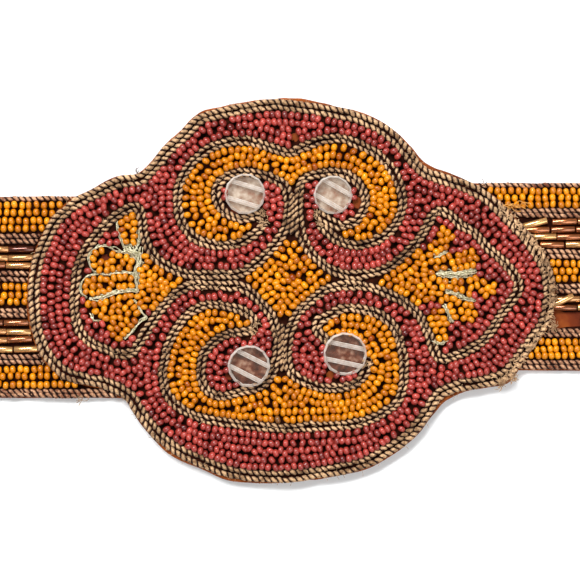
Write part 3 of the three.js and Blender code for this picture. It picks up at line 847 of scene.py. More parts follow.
# A bead's closed profile, along its hole and out from it, as shares of half its length and of its radius.
FINE_BEAD = [(-1, 0.34), (-0.84, 0.68), (-0.38, 0.96), (0.38, 0.96), (0.84, 0.68), (1, 0.34)]
PLAIN_BEAD = [(-1, 0.36), (-0.72, 0.8), (0, 1), (0.72, 0.8), (1, 0.36)]
BUGLE = [(-1, 0.5), (-1, 0.9), (-0.97, 1), (0.97, 1), (1, 0.9), (1, 0.5)]


def bead_shape(name, profile, length, width, sides):
    """One bead round X, as an object to copy. It is removed once its copies are made."""
    shape = [(x * length / 2, r * width / 2) for x, r in profile]
    return new_object(name, lathe_mesh(name, shape, sides))


def flat_tree(points):
    """A search tree of flat points."""
    tree = kdtree.KDTree(len(points))
    for i, (x, y) in enumerate(points):
        tree.insert((x, y, 0), i)
    tree.balance()
    return tree


class BeadBeds:
    """The room between the cords on a fine grid: how far each spot is from its bounds, and its field."""

    step = 0.25
    wall = 0.15

    def __init__(self):
        low, high = PANEL_LOW[:2], PANEL_HIGH[:2]
        self.low = low
        self.shape = tuple(((high - low) / self.step).astype(int) + 1)
        x, y = np.meshgrid(*(low[i] + np.arange(self.shape[i]) * self.step for i in (0, 1)), indexing="ij")
        spots = np.column_stack([x.ravel(), y.ravel()])
        closed = [np.linspace(*place([a, b]), 30) for a, b in CLOSED_PLACES]
        room = self.distance(spots, np.vstack(list(ROUTES.values()) + closed)) - CORD_PAIR / 2 + TUCKED
        border = inwards(BORDER, (BORDER_PAIR - CORD) / 2)
        room = np.minimum(room, self.distance(spots, border) - BORDER_PAIR / 2)
        for stone in STONES:
            away = np.hypot(*(spots - place(stone["at"])).T) - STONE * stone["size"] / 2 * STONE_FOOT
            room = np.minimum(room, away)
        self.room = room.reshape(self.shape)
        self.field = np.full(self.shape, -1)
        for number, field in enumerate(FIELDS):
            for start in field["inside"]:
                self.fill(place(start), number)
        for _, half, route in TINSEL:
            away = self.distance(spots, smooth(place(route))).reshape(self.shape)
            self.room = np.minimum(self.room, away - half)
        self.slope = np.gradient(self.room, self.step)

    @staticmethod
    def distance(spots, line):
        tree = flat_tree(line)
        return np.array([tree.find((x, y, 0))[2] for x, y in spots])

    def cell(self, points):
        index = np.round((np.atleast_2d(points) - self.low) / self.step).astype(int)
        return tuple(np.clip(index[:, i], 0, self.shape[i] - 1) for i in (0, 1))

    def fill(self, start, number):
        """Gives the field's number to every spot that can be reached from start."""
        first = tuple(int(c[0]) for c in self.cell(start))
        queue = deque([first])
        self.field[first] = number
        while queue:
            i, j = queue.popleft()
            for near in ((i + 1, j), (i - 1, j), (i, j + 1), (i, j - 1)):
                inside = 0 <= near[0] < self.shape[0] and 0 <= near[1] < self.shape[1]
                if inside and self.field[near] < 0 and self.room[near] > self.wall:
                    self.field[near] = number
                    queue.append(near)

    def read(self, points):
        """The room at each point, and the unit direction in which it grows."""
        cell = self.cell(points)
        away = np.column_stack([self.slope[0][cell], self.slope[1][cell]])
        return self.room[cell], away / np.maximum(np.hypot(*away.T), 1e-6)[:, None]


# A bead of a stray colour, on the chart.
ODD_BEADS = [(276, 417)]
BEAD_SLOTS = {"red": "red_beads", "yellow": "yellow_beads", "pale": "yellow_beads"}

# How beads lie: a bead's own room along its thread and across it, and its first row's distance from the cords.
BEAD_ALONG = 1.74
BEAD_ACROSS = 2.14
FIRST_ROW = 1.0
RELAX_STEPS = 46
ROW_PULL = 0.15  # the share of its way to its row that a bead goes in a step
BEAD_PUSH = 0.32  # the share of their overlap that two beads are pushed apart in a step
LONGEST_MOVE = 0.5
LEAST_ROOM = 0.8  # from a spot where a bead may be laid to the nearest cord
FIRST_FILL, LATER_FILL = 0.84, 0.86  # bead sizes between a new bead and every other
FILL_ROUNDS = 4
TOO_DEEP = 0.73  # bead sizes between two beads of which one is left out
SEARCH_CELL = 2.5  # wide enough that only beads in neighbouring cells can touch

# How unevenly the panel's beads lie: turns in radians, places in millimetres, tones from 0 to 1.
ASKEW, FAR_ASKEW, FAR_ASKEW_SHARE = 0.34, 0.7, 0.2
TILT = 0.22
SHIFT, LIFT = 0.1, 0.14
MIDDLE_TONE, TONE_SPREAD = 0.55, 0.19
BEAD_SIZE_SPREAD = 0.07


def crowding(points, away, pairs):
    """For each pair of beads, the way from the first to the second and that distance in bead sizes."""
    first, second = pairs
    way = points[second] - points[first]
    across = np.sum(way * away[first], 1) / BEAD_ACROSS
    along = (way[:, 1] * away[first][:, 0] - way[:, 0] * away[first][:, 1]) / BEAD_ALONG
    return way, np.maximum(np.hypot(across, along), 1e-3)


def near_pairs(points, reach=3.4):
    """Each two beads that lie within reach of each other, as a row of firsts and a row of seconds."""
    tree = flat_tree(points)
    found = []
    for i, (x, y) in enumerate(points):
        found += [(i, j) for _, j, _ in tree.find_range((x, y, 0), reach) if j > i]
    return np.array(found).T


def relax(beds, points, steps):
    """Pushes beads apart and draws them into rows that follow the cords, as a sewer lays them."""
    points = points.copy()
    for turn in range(steps):
        if turn % 6 == 0:
            pairs = near_pairs(points)
        room, away = beds.read(points)
        row = np.maximum(np.round((room - FIRST_ROW) / BEAD_ACROSS), 0)
        move = away * (ROW_PULL * (FIRST_ROW + row * BEAD_ACROSS - room))[:, None]
        way, apart = crowding(points, away, pairs)
        push = way * (np.clip(1 - apart, 0, 1) / apart * BEAD_PUSH)[:, None]
        np.add.at(move, pairs[0], -push)
        np.add.at(move, pairs[1], push)
        length = np.maximum(np.hypot(*move.T), 1e-6)[:, None]
        points += move * np.minimum(1, LONGEST_MOVE / length)
        room, away = beds.read(points)
        points += away * np.clip(FIRST_ROW - 0.12 - room, 0, 0.4)[:, None]
    return points


def lay_beads(beds, number, rng):
    """Bead places that fill one field, and the direction of the row at each."""
    cells = np.argwhere((beds.field == number) & (beds.room > LEAST_ROOM))
    spots = beds.low + rng.permutation(cells) * beds.step
    points = fill_gaps(beds, spots, np.empty((0, 2)), FIRST_FILL)
    points = relax(beds, points, RELAX_STEPS)
    for _ in range(FILL_ROUNDS):
        points = fill_gaps(beds, spots, thinned(beds, points), LATER_FILL)
        points = relax(beds, points, RELAX_STEPS // 2)
    points = thinned(beds, points)
    _, away = beds.read(points)
    return points, away


def fill_gaps(beds, spots, points, least):
    """Adds a bead on each spot, taken in turn, that lies at least that many bead sizes from every other."""
    _, away = beds.read(spots)
    taken = {}
    placed = list(points)
    for x, y in placed:
        taken.setdefault((int(x // SEARCH_CELL), int(y // SEARCH_CELL)), []).append((x, y))
    for (x, y), (ax, ay) in zip(spots.tolist(), away.tolist()):
        i, j = int(x // SEARCH_CELL), int(y // SEARCH_CELL)
        near = [q for di in (-1, 0, 1) for dj in (-1, 0, 1) for q in taken.get((i + di, j + dj), ())]
        free = all(
            math.hypot(
                ((qx - x) * ax + (qy - y) * ay) / BEAD_ACROSS, ((qy - y) * ax - (qx - x) * ay) / BEAD_ALONG
            )
            >= least
            for qx, qy in near
        )
        if free:
            taken.setdefault((i, j), []).append((x, y))
            placed.append((x, y))
    return np.array(placed)


def thinned(beds, points):
    """Leaves out one of each two beads that lie too deep in each other."""
    pairs = near_pairs(points)
    _, away = beds.read(points)
    _, apart = crowding(points, away, pairs)
    gone = set()
    for k in np.argsort(apart):
        if apart[k] > TOO_DEEP:
            break
        a, b = pairs[:, k]
        if a not in gone and b not in gone:
            gone.add(b)
    return points[[i for i in range(len(points)) if i not in gone]]


def in_stroke(points, stroke):
    """Whether each point lies in a round-ended stroke given in chart pixels."""
    a, b = place([stroke[0], stroke[1]])
    half = stroke[2] * pixel_size()
    along = b - a
    share = np.clip(((points - a) @ along) / (along @ along), 0, 1)
    return np.hypot(*(points - a - share[:, None] * along).T) < half


def pixel_size():
    """A chart pixel in millimetres."""
    return ((PANEL_HIGH - PANEL_LOW)[0] - 2 * PANEL_MARGIN) / (CHART_HIGH - CHART_LOW)[0]


def bead_turns(away, rng):
    """Each bead's turn: its hole along the row, some beads askew and a few standing out."""
    count = len(away)
    heading = np.arctan2(away[:, 1], away[:, 0]) + math.pi / 2
    askew = rng.normal(0, ASKEW, count)
    askew += np.where(rng.random(count) < FAR_ASKEW_SHARE, rng.normal(0, FAR_ASKEW, count), 0)
    return np.column_stack([rng.random(count) * math.tau, rng.normal(0, TILT, count), heading + askew])


def panel_bead_points(sizes):
    """Every bead of the panel, field by field: its node, then the places, turns and colours, and the rng."""
    beds = BeadBeds()
    rng = np.random.default_rng(sizes.seed)
    for number, field in enumerate(FIELDS):
        points, away = lay_beads(beds, number, rng)
        for spot, radius in BARE_SPOTS:
            keep = np.hypot(*(points - place(spot)).T) > radius * pixel_size()
            points, away = points[keep], away[keep]
        points = points + rng.normal(0, SHIFT, points.shape)
        colours = np.full(len(points), "red" if field["red"] else "yellow", dtype="U6")
        if "fan" in field["node"]:
            colours[np.any([in_stroke(points, stroke) for stroke in FAN_STROKES], 0)] = "yellow"
        for spot in ODD_BEADS:
            away_from_it = np.hypot(*(points - place(spot)).T)
            if away_from_it.min() < BEAD_ACROSS / 2:
                colours[np.argmin(away_from_it)] = "pale"
        yield field["node"], points, bead_turns(away, rng), colours, rng


def attributed_points(name, points, turns, tones):
    """Loose points with a turn and a tone each."""
    mesh = mesh_of(name, points)
    mesh.attributes.new("turn", "FLOAT_VECTOR", "POINT").data.foreach_set("vector", turns.ravel())
    mesh.attributes.new("tone", "FLOAT", "POINT").data.foreach_set("value", tones)
    return mesh


def ring_solid(name, rings, materials, top_slot=0):
    """A closed solid from rings of equal length, bottom to top, with its two faces filled."""
    count = len(rings[0])
    points = np.vstack(rings)
    faces = [tuple(range(count))[::-1], tuple(range(len(points) - count, len(points)))]
    for k in range(len(rings) - 1):
        for i in range(count):
            j = (i + 1) % count
            faces.append((k * count + i, k * count + j, (k + 1) * count + j, (k + 1) * count + i))
    mesh = mesh_of(name, points, faces, smooth_faces=False)
    outward_faces(mesh)
    mesh.polygons[1].material_index = top_slot
    return new_object(name, mesh, *materials)


def leather_patch(name, middle, radius, top, rng, stretch=(1, 1)):
    """A thin scrap of bare leather that shows where no bead lies, over the painted shade under the beads; the
    scrap itself is darkened as painted shade.
    """
    turns = np.arange(16) * math.tau / 16
    reach = radius * (1 + rng.normal(0, 0.16, 16))
    ring = np.column_stack([np.cos(turns) * reach, np.sin(turns) * reach]) * stretch + middle
    return ring_solid(name, [raised(ring, top - 0.05), raised(ring, top + 0.06)], [finish("worn_shaded_leather")])


def band_span(side):
    """The lowest and highest y of one band's leather."""
    boxes = [box_mm(node) for kind in BAND_STRIPES[side].values() for node, _ in kind]
    return min(b[0][1] for b in boxes) - GAP / 2, max(b[1][1] for b in boxes) + GAP / 2


def stripe_rows(side, node, rows):
    """Each row of a stripe: its y, where it starts at the panel and where it ends, all in millimetres."""
    low, high = box_mm(node)
    sign = SIGNS[side]
    end = low[0] if sign < 0 else high[0]
    for row in range(rows):
        y = low[1] + (row + 0.5) * (high[1] - low[1]) / rows
        start = panel_edge(y, sign) + sign * GAP
        if node == WORN_STRIPE[0] and row < WORN_STRIPE[1]:
            start = PANEL_HIGH[0] + BARE_PATCH_PAST_PANEL
        if (node, row) == GAPPED_ROW[:2]:
            start = place((GAPPED_ROW[2], 0))[0]
        yield y, start, end


def row_line(y, start, end, height, amount, rng):
    """One row as a line that wanders a little."""
    count = max(2, int(abs(end - start) / 6))
    line = np.column_stack([np.linspace(start, end, count + 1), np.full(count + 1, y)])
    return raised(wobble(line, amount, 14, rng), height)


def length_property(name, description, metres):
    return FloatProperty(name=name, description=description, default=metres, unit="LENGTH")


class BeltSizes(bpy.types.PropertyGroup):
    bead_length: length_property("Bead length", "A seed bead along its hole", 1.64 * MM)
    bead_width: length_property("Bead width", "A seed bead across its hole", 2.36 * MM)
    bugle_length: length_property("Bugle length", "A bugle bead along its hole", 6.9 * MM)
    bugle_width: length_property("Bugle width", "A bugle bead across its hole", 1.9 * MM)
    twist_length: length_property("Twist length", "One full turn of a cord's two plies", 1.8 * MM)
    seed: IntProperty(name="Seed", description="Picks the random places of the beads", default=7)


def colour_property(name, description, colour):
    return FloatVectorProperty(
        name=name, description=description, default=linear(colour)[:3], min=0, max=1, subtype="COLOR"
    )


class BeltColours(bpy.types.PropertyGroup):
    red_dark: colour_property("Red glass, dark", "The darkest of the red beads", "#58110F")
    red_light: colour_property("Red glass, light", "The lightest of the red beads", "#BA453A")
    yellow_dark: colour_property("Yellow glass, dark", "The darkest of the yellow beads", "#8E3A00")
    yellow_light: colour_property("Yellow glass, light", "The lightest of the yellow beads", "#EC9608")
    copper_dark: colour_property("Copper, dark", "The most tarnished of the bugle beads", "#5A2612")
    copper_middle: colour_property("Copper, middle", "Most of the bugle beads", "#AD6534")
    copper_light: colour_property("Copper, light", "The brightest of the bugle beads", "#EDBA74")
    panel_cord_dark: colour_property("Panel cord, dark", "Soiled places on the panel's cords", "#7C5A3C")
    panel_cord_light: colour_property("Panel cord, light", "Clean places on the panel's cords", "#DEB68A")
    band_cord_dark: colour_property("Band cord, dark", "Soiled places on the bands' cords", "#703E28")
    band_cord_light: colour_property("Band cord, light", "Clean places on the bands' cords", "#D8A882")
    leather_dark: colour_property("Leather, dark", "Rubbed places on the leather", "#5A2408")
    leather_light: colour_property("Leather, light", "Clean places on the leather", "#A6561C")


class BeltStage(bpy.types.PropertyGroup):
    camera_height: length_property("Camera height", "From the panel's top up", 0.7)
    view_width: length_property("View width", "What the image shows of the belt", 0.1657)
    floor: FloatVectorProperty(
        name="Card size", description="Length and width of the card", size=2, default=(6, 6),
        subtype="XYZ_LENGTH",
    )


class BELT_OT_stage(bpy.types.Operator):
    """Lays the white card, hangs the soft lamps and looks straight down, as the photograph does"""

    bl_idname = "belt.stage"
    bl_label = "Stage"

    def execute(self, context):
        stage = context.scene.belt_stage
        half_x, half_y = stage.floor[0] / 2 / MM, stage.floor[1] / 2 / MM
        corners = [(-half_x, -half_y, 0), (half_x, -half_y, 0), (half_x, half_y, 0), (-half_x, half_y, 0)]
        card = new_object("card", mesh_of("card", corners, [(0, 1, 2, 3)]), finish("paper"))
        self.add_lamps(context)
        self.add_camera(context, stage)
        context.scene.view_settings.view_transform = "Standard"
        return {"FINISHED"}

    @staticmethod
    def add_lamps(context):
        world = bpy.data.worlds.new("soft_room")
        world.use_nodes = True
        world.node_tree.nodes["Background"].inputs["Color"].default_value = linear("#F4F7FA")
        world.node_tree.nodes["Background"].inputs["Strength"].default_value = 0.3
        context.scene.world = world
        for name, at, width, depth, power in (
            ("key_softbox", (-0.3, 0.65, 1.0), 1.0, 0.3, 22.5),
            ("fill_softbox", (0.7, -0.6, 1.2), 1.2, 1.2, 11),
        ):
            light = bpy.data.lights.new(name, "AREA")
            light.shape = "RECTANGLE"
            light.size = width
            light.size_y = depth
            light.energy = power
            lamp = bpy.data.objects.new(name, light)
            lamp.location = at
            lamp.rotation_euler = look_at(at, (0, 0, 0))
            context.scene.collection.objects.link(lamp)

    @staticmethod
    def add_camera(context, stage):
        camera = bpy.data.cameras.new("camera")
        camera.sensor_width = SENSOR_MM
        camera.lens = SENSOR_MM * stage.camera_height / stage.view_width
        camera.clip_start = 0.01
        holder = bpy.data.objects.new("camera", camera)
        middle = place(CHART_MIDDLE) * MM
        holder.location = (middle[0], middle[1], stage.camera_height + PANEL_TOP * MM)
        context.scene.collection.objects.link(holder)
        context.scene.camera = holder


def look_at(place_from, place_to):
    """The turn that points a lamp from one place to another."""
    from_to = np.array(place_to, float) - np.array(place_from, float)
    flat = math.hypot(from_to[0], from_to[1])
    return (math.atan2(flat, -from_to[2]), 0, math.atan2(-from_to[0], from_to[1]))


class BELT_OT_leather(bpy.types.Operator):
    """Cuts the strap and the panel's backing from leather, with soft cut edges"""

    bl_idname = "belt.leather"
    bl_label = "Leather"

    def execute(self, context):
        rng = np.random.default_rng(3)
        self.cut_strap(rng)
        self.cut_panel(rng)
        return {"FINISHED"}

    @staticmethod
    def cut_strap(rng):
        low, high = box_mm("strap_leather")
        left, right = band_span("left"), band_span("right")
        x = np.arange(low[0], high[0] + 0.1, 5)
        share = np.clip(x / STRAP_SHIFT_LENGTH + 0.5, 0, 1)
        bottom = left[0] + (right[0] - left[0]) * share + rng.normal(0, 0.06, len(x))
        top = left[1] + (right[1] - left[1]) * share + rng.normal(0, 0.06, len(x))
        row_ends = box_mm("left_cord_1")[0][0] / low[0]
        rings = []
        for inset, height, reach in (
            (0.35, 0, 1), (0, 0.35, 1), (0, LEATHER - 0.3, 1), (0.3, LEATHER, 1), (0.9, LEATHER, row_ends),
        ):
            along = np.clip(x, low[0] + inset, high[0] - inset) * reach
            edges = np.column_stack([along, bottom + inset]), np.column_stack([along, top - inset])[::-1]
            rings.append(raised(np.vstack(edges), height))
        # The top face under the bead rows is painted near black: painted shade between the beads, with the dark
        # of the thread.
        strap = ring_solid("strap", rings, [finish("leather"), finish("dark_leather")], top_slot=1)
        worn = box_mm(WORN_STRIPE[0])
        bare = (PANEL_HIGH[0] - 1, worn[0][1] + (worn[1][1] - worn[0][1]) * 0.25)
        patch = leather_patch("patch", bare, 2.4, LEATHER, rng, stretch=(4.6, 1))
        finish_piece(joined("leather_strap", [strap, patch]), "leather", "strap_leather")

    @staticmethod
    def cut_panel(rng):
        reach = np.full(len(BORDER), PANEL_MARGIN - 0.15)
        for spot, extra, spread in LEATHER_EDGE:
            away = np.hypot(*(BORDER - place(spot)).T)
            reach = reach + extra * np.exp(-((away / spread) ** 2))
        knots = rng.normal(0, 0.07, len(BORDER) // 5 + 2)
        reach = reach + np.interp(np.arange(len(BORDER)) / 5, np.arange(len(knots)), knots)
        outline = inwards(BORDER, -np.minimum(reach, PANEL_MARGIN + 0.8))[::2]
        rings = [
            raised(inwards(outline, inset), LEATHER + height)
            for inset, height in ((0.3, 0), (0, 0.3), (0, LEATHER - 0.25), (0.25, LEATHER), (1.2, LEATHER))
        ]
        # The top face under the beads is painted near black: painted shade between the beads, with the dark of
        # the thread.
        pieces = [ring_solid("panel", rings, [finish("leather"), finish("dark_leather")], top_slot=1)]
        for spot, radius in BARE_SPOTS:
            pieces.append(leather_patch("patch", place(spot), radius * pixel_size(), PANEL_TOP, rng))
        finish_piece(joined("leather_panel", pieces), "leather", "panel_backing")


class BELT_OT_panel_cords(bpy.types.Operator):
    """Sews the twisted cords of the border and the scrolls in pairs"""

    bl_idname = "belt.panel_cords"
    bl_label = "Panel cords"

    def execute(self, context):
        twist = context.scene.belt_sizes.twist_length
        rng = np.random.default_rng(11)
        loops = [inwards(BORDER, depth) for depth in (0, BORDER_PAIR - CORD)]
        border = [np.vstack([loop, loop[:2]]) for loop in loops]
        self.sew("border_twisted_cord", border, "border_cord", twist, rng)
        spacing = (CORD_PAIR - CORD) / 2 + PAIR_SLACK
        for node, route in ROUTES.items():
            pair = [route + left_of(route) * side * spacing for side in (-1, 1)]
            self.sew(node.replace("cord", "twisted_cord"), pair, node, twist, rng)
        wedges = [smooth(place(route), step=0.5) for route in WEDGE_STRANDS]
        self.sew("wedge_twisted_cord", wedges, None, twist, rng)
        return {"FINISHED"}

    @staticmethod
    def sew(name, lines, node, twist, rng):
        height = PANEL_TOP + CORD / 2
        sewn = [raised(wobble(line, 0.13, 3.2, rng), height) for line in lines]
        size, dark_share = (CORD * 1.08, 0.3) if node == "border_cord" else (CORD * 0.92, 0.36)
        values = {
            "Cord size": size * MM, "Twist length": twist, "Steps a turn": 6.0, "Ply sides": 4,
            "Dark share": dark_share, "Unevenness": 1.1 * MM,
            "Light ply": finish("tan_ply"), "Dark ply": finish("black_ply"),
        }
        nodes = [node] if node else []
        finish_piece(grown(name, lines_mesh(name, sewn), "twisted_cord", values), "twisted_cord", *nodes)


class BELT_OT_panel_beads(bpy.types.Operator):
    """Sews the seed beads of the panel, field by field"""

    bl_idname = "belt.panel_beads"
    bl_label = "Panel beads"

    def execute(self, context):
        sizes = context.scene.belt_sizes
        shape = bead_shape("fine_bead", FINE_BEAD, sizes.bead_length / MM, sizes.bead_width / MM, 10)
        height = PANEL_TOP + SEED_BEAD / 2
        for node, points, turns, colours, rng in panel_bead_points(sizes):
            places = raised(points, height)
            places[:, 2] += np.abs(rng.normal(0, LIFT, len(points)))
            tones = np.clip(rng.normal(MIDDLE_TONE, TONE_SPREAD, len(points)), 0, 1)
            for colour in sorted(set(colours)):
                these = colours == colour
                name = f"{node}_{colour}"
                mesh = attributed_points(name, places[these], turns[these], tones[these])
                values = {
                    "Bead": shape, "Size spread": BEAD_SIZE_SPREAD, "Seed": len(points),
                    "Glass": finish(f"{colour}_glass"),
                }
                finish_piece(grown(name, mesh, "sewn_beads", values), BEAD_SLOTS[colour], node)
        bpy.data.objects.remove(shape)
        return {"FINISHED"}


class BELT_OT_band_beads(bpy.types.Operator):
    """Strings the rows of seed beads and bugle beads of both bands"""

    bl_idname = "belt.band_beads"
    bl_label = "Band beads"

    def execute(self, context):
        sizes = context.scene.belt_sizes
        fine = bead_shape("fine_bead", FINE_BEAD, sizes.bead_length / MM, sizes.bead_width / MM, 10)
        plain = bead_shape("plain_bead", PLAIN_BEAD, sizes.bead_length / MM, sizes.bead_width / MM, 8)
        bugle = bead_shape("bugle_bead", BUGLE, sizes.bugle_length / MM, sizes.bugle_width / MM, 8)
        rng = np.random.default_rng(23)
        for side, stripes in BAND_STRIPES.items():
            for node, rows in stripes["seed"]:
                self.string_seed_beads(side, node, rows, (fine, plain), sizes, rng)
            for node, rows in stripes["bugle"]:
                self.string_bugles(side, node, rows, bugle, sizes, rng)
        self.lay_askew_bugles(bugle)
        for shape in (fine, plain, bugle):
            bpy.data.objects.remove(shape)
        return {"FINISHED"}

    def string_seed_beads(self, side, node, rows, shapes, sizes, rng):
        sign = SIGNS[side]
        pitch = sizes.bead_length / MM + 0.32
        lines = {"near": [], "far": []}
        for y, start, end in stripe_rows(side, node, rows):
            first = start + sign * rng.uniform(0.1, 0.7)
            split = start + sign * NEAR_PANEL
            height = LEATHER + SEED_BEAD / 2
            lines["near"].append(row_line(y, first, split, height, 0.12, rng))
            lines["far"].append(row_line(y, split + sign * pitch, end - sign * pitch / 2, height, 0.12, rng))
        made = []
        for (part, some), shape in zip(lines.items(), shapes):
            values = {
                "Bead": shape, "Pitch": pitch * MM, "Size spread": BEAD_SIZE_SPREAD, "Wander": 0.2 * MM,
                "Turn": 0.3, "Kept": 1.0, "Least tone": 0.35, "Seed": int(rng.integers(1000)),
                "Glass": finish("yellow_glass"),
            }
            made.append(grown(f"{node}_{part}", lines_mesh(node, some), "bead_rows", values))
        finish_piece(joined(f"strung_{node}", made), "yellow_beads", node)

    @staticmethod
    def lay_askew_bugles(shape):
        """The bugle beads that have come loose beside the panel, a little above the rows."""
        ends = np.array([place(pair) for pair in ASKEW_BUGLES])
        along = ends[:, 1] - ends[:, 0]
        heading = np.arctan2(along[:, 1], along[:, 0])
        turns = np.column_stack([np.zeros(len(ends)), np.full(len(ends), -0.05), heading])
        points = raised(ends.mean(1), LEATHER + SEED_BEAD * 0.62)
        mesh = attributed_points("askew_bugles", points, turns, np.array([1.0, 0.8]))
        values = {"Bead": shape, "Size spread": 0.02, "Seed": 5, "Glass": finish("copper")}
        finish_piece(grown("askew_bugles", mesh, "sewn_beads", values), "copper_bugles")

    def string_bugles(self, side, node, rows, shape, sizes, rng):
        sign = SIGNS[side]
        pitch = sizes.bugle_length / MM + 0.22
        height = LEATHER + sizes.bugle_width / MM / 2
        lines = []
        for y, start, end in stripe_rows(side, node, rows):
            first = start + sign * (pitch / 2 + rng.uniform(-1.0, 0.4))
            lines.append(row_line(y, first, end - sign * pitch / 2, height, 0.1, rng))
        values = {
            "Bead": shape, "Pitch": pitch * MM, "Size spread": 0.04, "Wander": 0.12 * MM, "Turn": 0.035,
            "Kept": 0.985, "Seed": int(rng.integers(1000)), "Glass": finish("copper"),
        }
        piece = grown(f"strung_{node}", lines_mesh(node, lines), "bead_rows", values)
        finish_piece(piece, "copper_bugles", node)


class BELT_OT_band_cords(bpy.types.Operator):
    """Lays the twisted cords between the rows of both bands"""

    bl_idname = "belt.band_cords"
    bl_label = "Band cords"

    def execute(self, context):
        twist = context.scene.belt_sizes.twist_length
        rng = np.random.default_rng(31)
        for side, stripes in BAND_STRIPES.items():
            sign = SIGNS[side]
            near, far = [], []
            for node, rows in stripes["cord"]:
                for y, start, end in stripe_rows(side, node, rows):
                    line = row_line(y, start, end, LEATHER + CORD / 2, 0.12, rng)
                    split = np.searchsorted(np.abs(line[:, 0]), abs(start) + NEAR_PANEL)
                    near.append(line[: split + 1])
                    far.append(line[split:])
            nodes = [node for node, _ in stripes["cord"]]
            made = [self.lay("near", near, twist, 6.0, 4), self.lay("far", far, twist, 4.0, 4)]
            finish_piece(joined(f"{side}_band_twisted_cords", made), "twisted_cord", *nodes)
        return {"FINISHED"}

    @staticmethod
    def lay(name, lines, twist, steps, sides):
        values = {
            "Cord size": CORD * MM, "Twist length": twist, "Steps a turn": steps, "Ply sides": sides,
            "Dark share": 0.34, "Unevenness": 1.1 * MM,
            "Light ply": finish("mauve_ply"), "Dark ply": finish("black_ply"),
        }
        return grown(name, lines_mesh(name, lines), "twisted_cord", values)


class BELT_OT_stones(bpy.types.Operator):
    """Cuts the four flat glass stones, with a ground rim and two thread holes right across each"""

    bl_idname = "belt.stones"
    bl_label = "Stones"

    sides = 14

    def execute(self, context):
        rng = np.random.default_rng(41)
        for stone in STONES:
            low, high = box_mm(stone["node"])
            self.cut(stone, place(stone["at"]), low[2], high[2] - low[2], rng)
        return {"FINISHED"}

    def cut(self, stone, middle, foot, thick, rng):
        radius = STONE * stone["size"] / 2
        turns = np.arange(self.sides) * math.tau / self.sides + rng.uniform(0, 0.4)
        uneven = radius * (1 - np.abs(rng.normal(0, 0.012, self.sides)))
        rings = []
        for share, height in STONE_RINGS:
            reach = uneven * share
            ring = np.column_stack([np.cos(turns) * reach, np.sin(turns) * reach]) + middle
            rings.append(raised(ring, foot + thick * height))
        name = stone["node"].replace("stone", "cut_stone")
        body = ring_solid(name, rings, [finish("rim_glass"), finish("glass"), finish("haze")], top_slot=1)
        body.data.polygons[0].material_index = 2
        holes = self.thread_holes(stone, middle, foot + thick * 0.5, radius, rng)
        finish_piece(joined(name + "_glass", [body, *holes]), "clear_glass", stone["node"])

    def thread_holes(self, stone, middle, height, radius, rng):
        """The two ground holes right across, each a half clear tube between two milky walls."""
        slant = math.radians(stone["slant"])
        along = np.array([math.cos(slant), math.sin(slant)])
        across = np.array([-along[1], along[0]])
        made = []
        for label, offset, size in STONE_HOLE_WALLS:
            look = "hole_glass" if label == "hole" else "rim_glass"
            lines = []
            for side in (-1, 1):
                out = side * STONE_HOLES / 2 + offset
                half = math.sqrt((radius * 0.97) ** 2 - out**2)
                ends = [middle + across * out + along * half * k for k in (-1, 1)]
                lines.append(raised(np.linspace(*ends, 5), height))
            values = {"Thread size": size * MM, "Sides": 6, "Thread": finish(look)}
            made.append(grown(label, lines_mesh(label, lines), "plain_thread", values))
        return made


class BELT_OT_threads(bpy.types.Operator):
    """Couches the tinsel in the fans and leaves the loose threads and frayed fibres of a worn belt"""

    bl_idname = "belt.threads"
    bl_label = "Threads"

    def execute(self, context):
        rng = np.random.default_rng(53)
        self.tinsel(rng)
        self.frayed(rng)
        self.loose_thread(rng)
        return {"FINISHED"}

    @staticmethod
    def tinsel(rng):
        lines = []
        for strands, half, route in TINSEL:
            for _ in range(strands):
                line = smooth(place(route) + rng.normal(0, half / 2, 2), step=0.5)
                line = wobble(line, 0.15 + half / 3, 1.6, rng)
                low, rise = PANEL_TOP + rng.uniform(0.2, 1.4), rng.uniform(0.2, 0.9)
                height = low + rise * np.sin(np.linspace(0.1, math.pi - 0.1, len(line)))
                lines.append(np.column_stack([line, height]))
        sew_thread("couched_tinsel", lines, 0.26, 4, "tinsel")

    @staticmethod
    def frayed(rng):
        """Fine fibres that stand off the cords, most on the border's right side, and tufts at cord ends."""
        right = BORDER[:, 0] > PANEL_HIGH[0] * 0.78
        border = inwards(BORDER, 0.5)
        ends = np.vstack([route[[0, -1]] for route in ROUTES.values()])
        tufts = [np.repeat(ends, 14, 0)] + [np.repeat(place([at]), count, 0) for at, count in TUFTS]
        scrolls = np.vstack(list(ROUTES.values()))
        for name, look, size, starts, reach in (
            ("worn_border_fibres", "tan_ply", 0.2, border[right][rng.integers(0, right.sum(), 210)], 2.0),
            ("worn_border_strands", "tan_ply", 0.45, border[right][rng.integers(0, right.sum(), 95)], 1.9),
            ("border_fibres", "tan_ply", 0.11, BORDER[rng.integers(0, len(BORDER), 240)], 2.0),
            ("tufts", "tan_ply", 0.17, np.vstack(tufts), 2.1),
            ("scroll_fibres", "tan_ply", 0.15, scrolls[rng.integers(0, len(scrolls), 420)], 1.7),
            ("dark_fibres", "black_ply", 0.2, scrolls[rng.integers(0, len(scrolls), 460)], 1.5),
            ("dark_thread_ends", "black_ply", 0.2, np.repeat(place(DARK_ENDS), 5, 0), 2.2),
        ):
            lines = [stray_fibre(spot, rng.uniform(0.4, 1.0) * reach, rng) for spot in starts]
            sew_thread(name, lines, size, 3, look)

    @staticmethod
    def loose_thread(rng):
        """The yellow thread that has worked loose beside the panel, in slack loops over the beads."""
        lines = []
        for _ in range(7):
            x = np.linspace(rng.uniform(501, 510), rng.uniform(516, 533), 4)
            route = np.column_stack([x, rng.normal(206, 2.6, 4)])
            line = smooth(place(route), step=0.6)
            lines.append(raised(line, LEATHER + SEED_BEAD + rng.uniform(0.1, 0.6)))
        sew_thread("loose_thread", lines, 0.24, 4, "gold_thread")


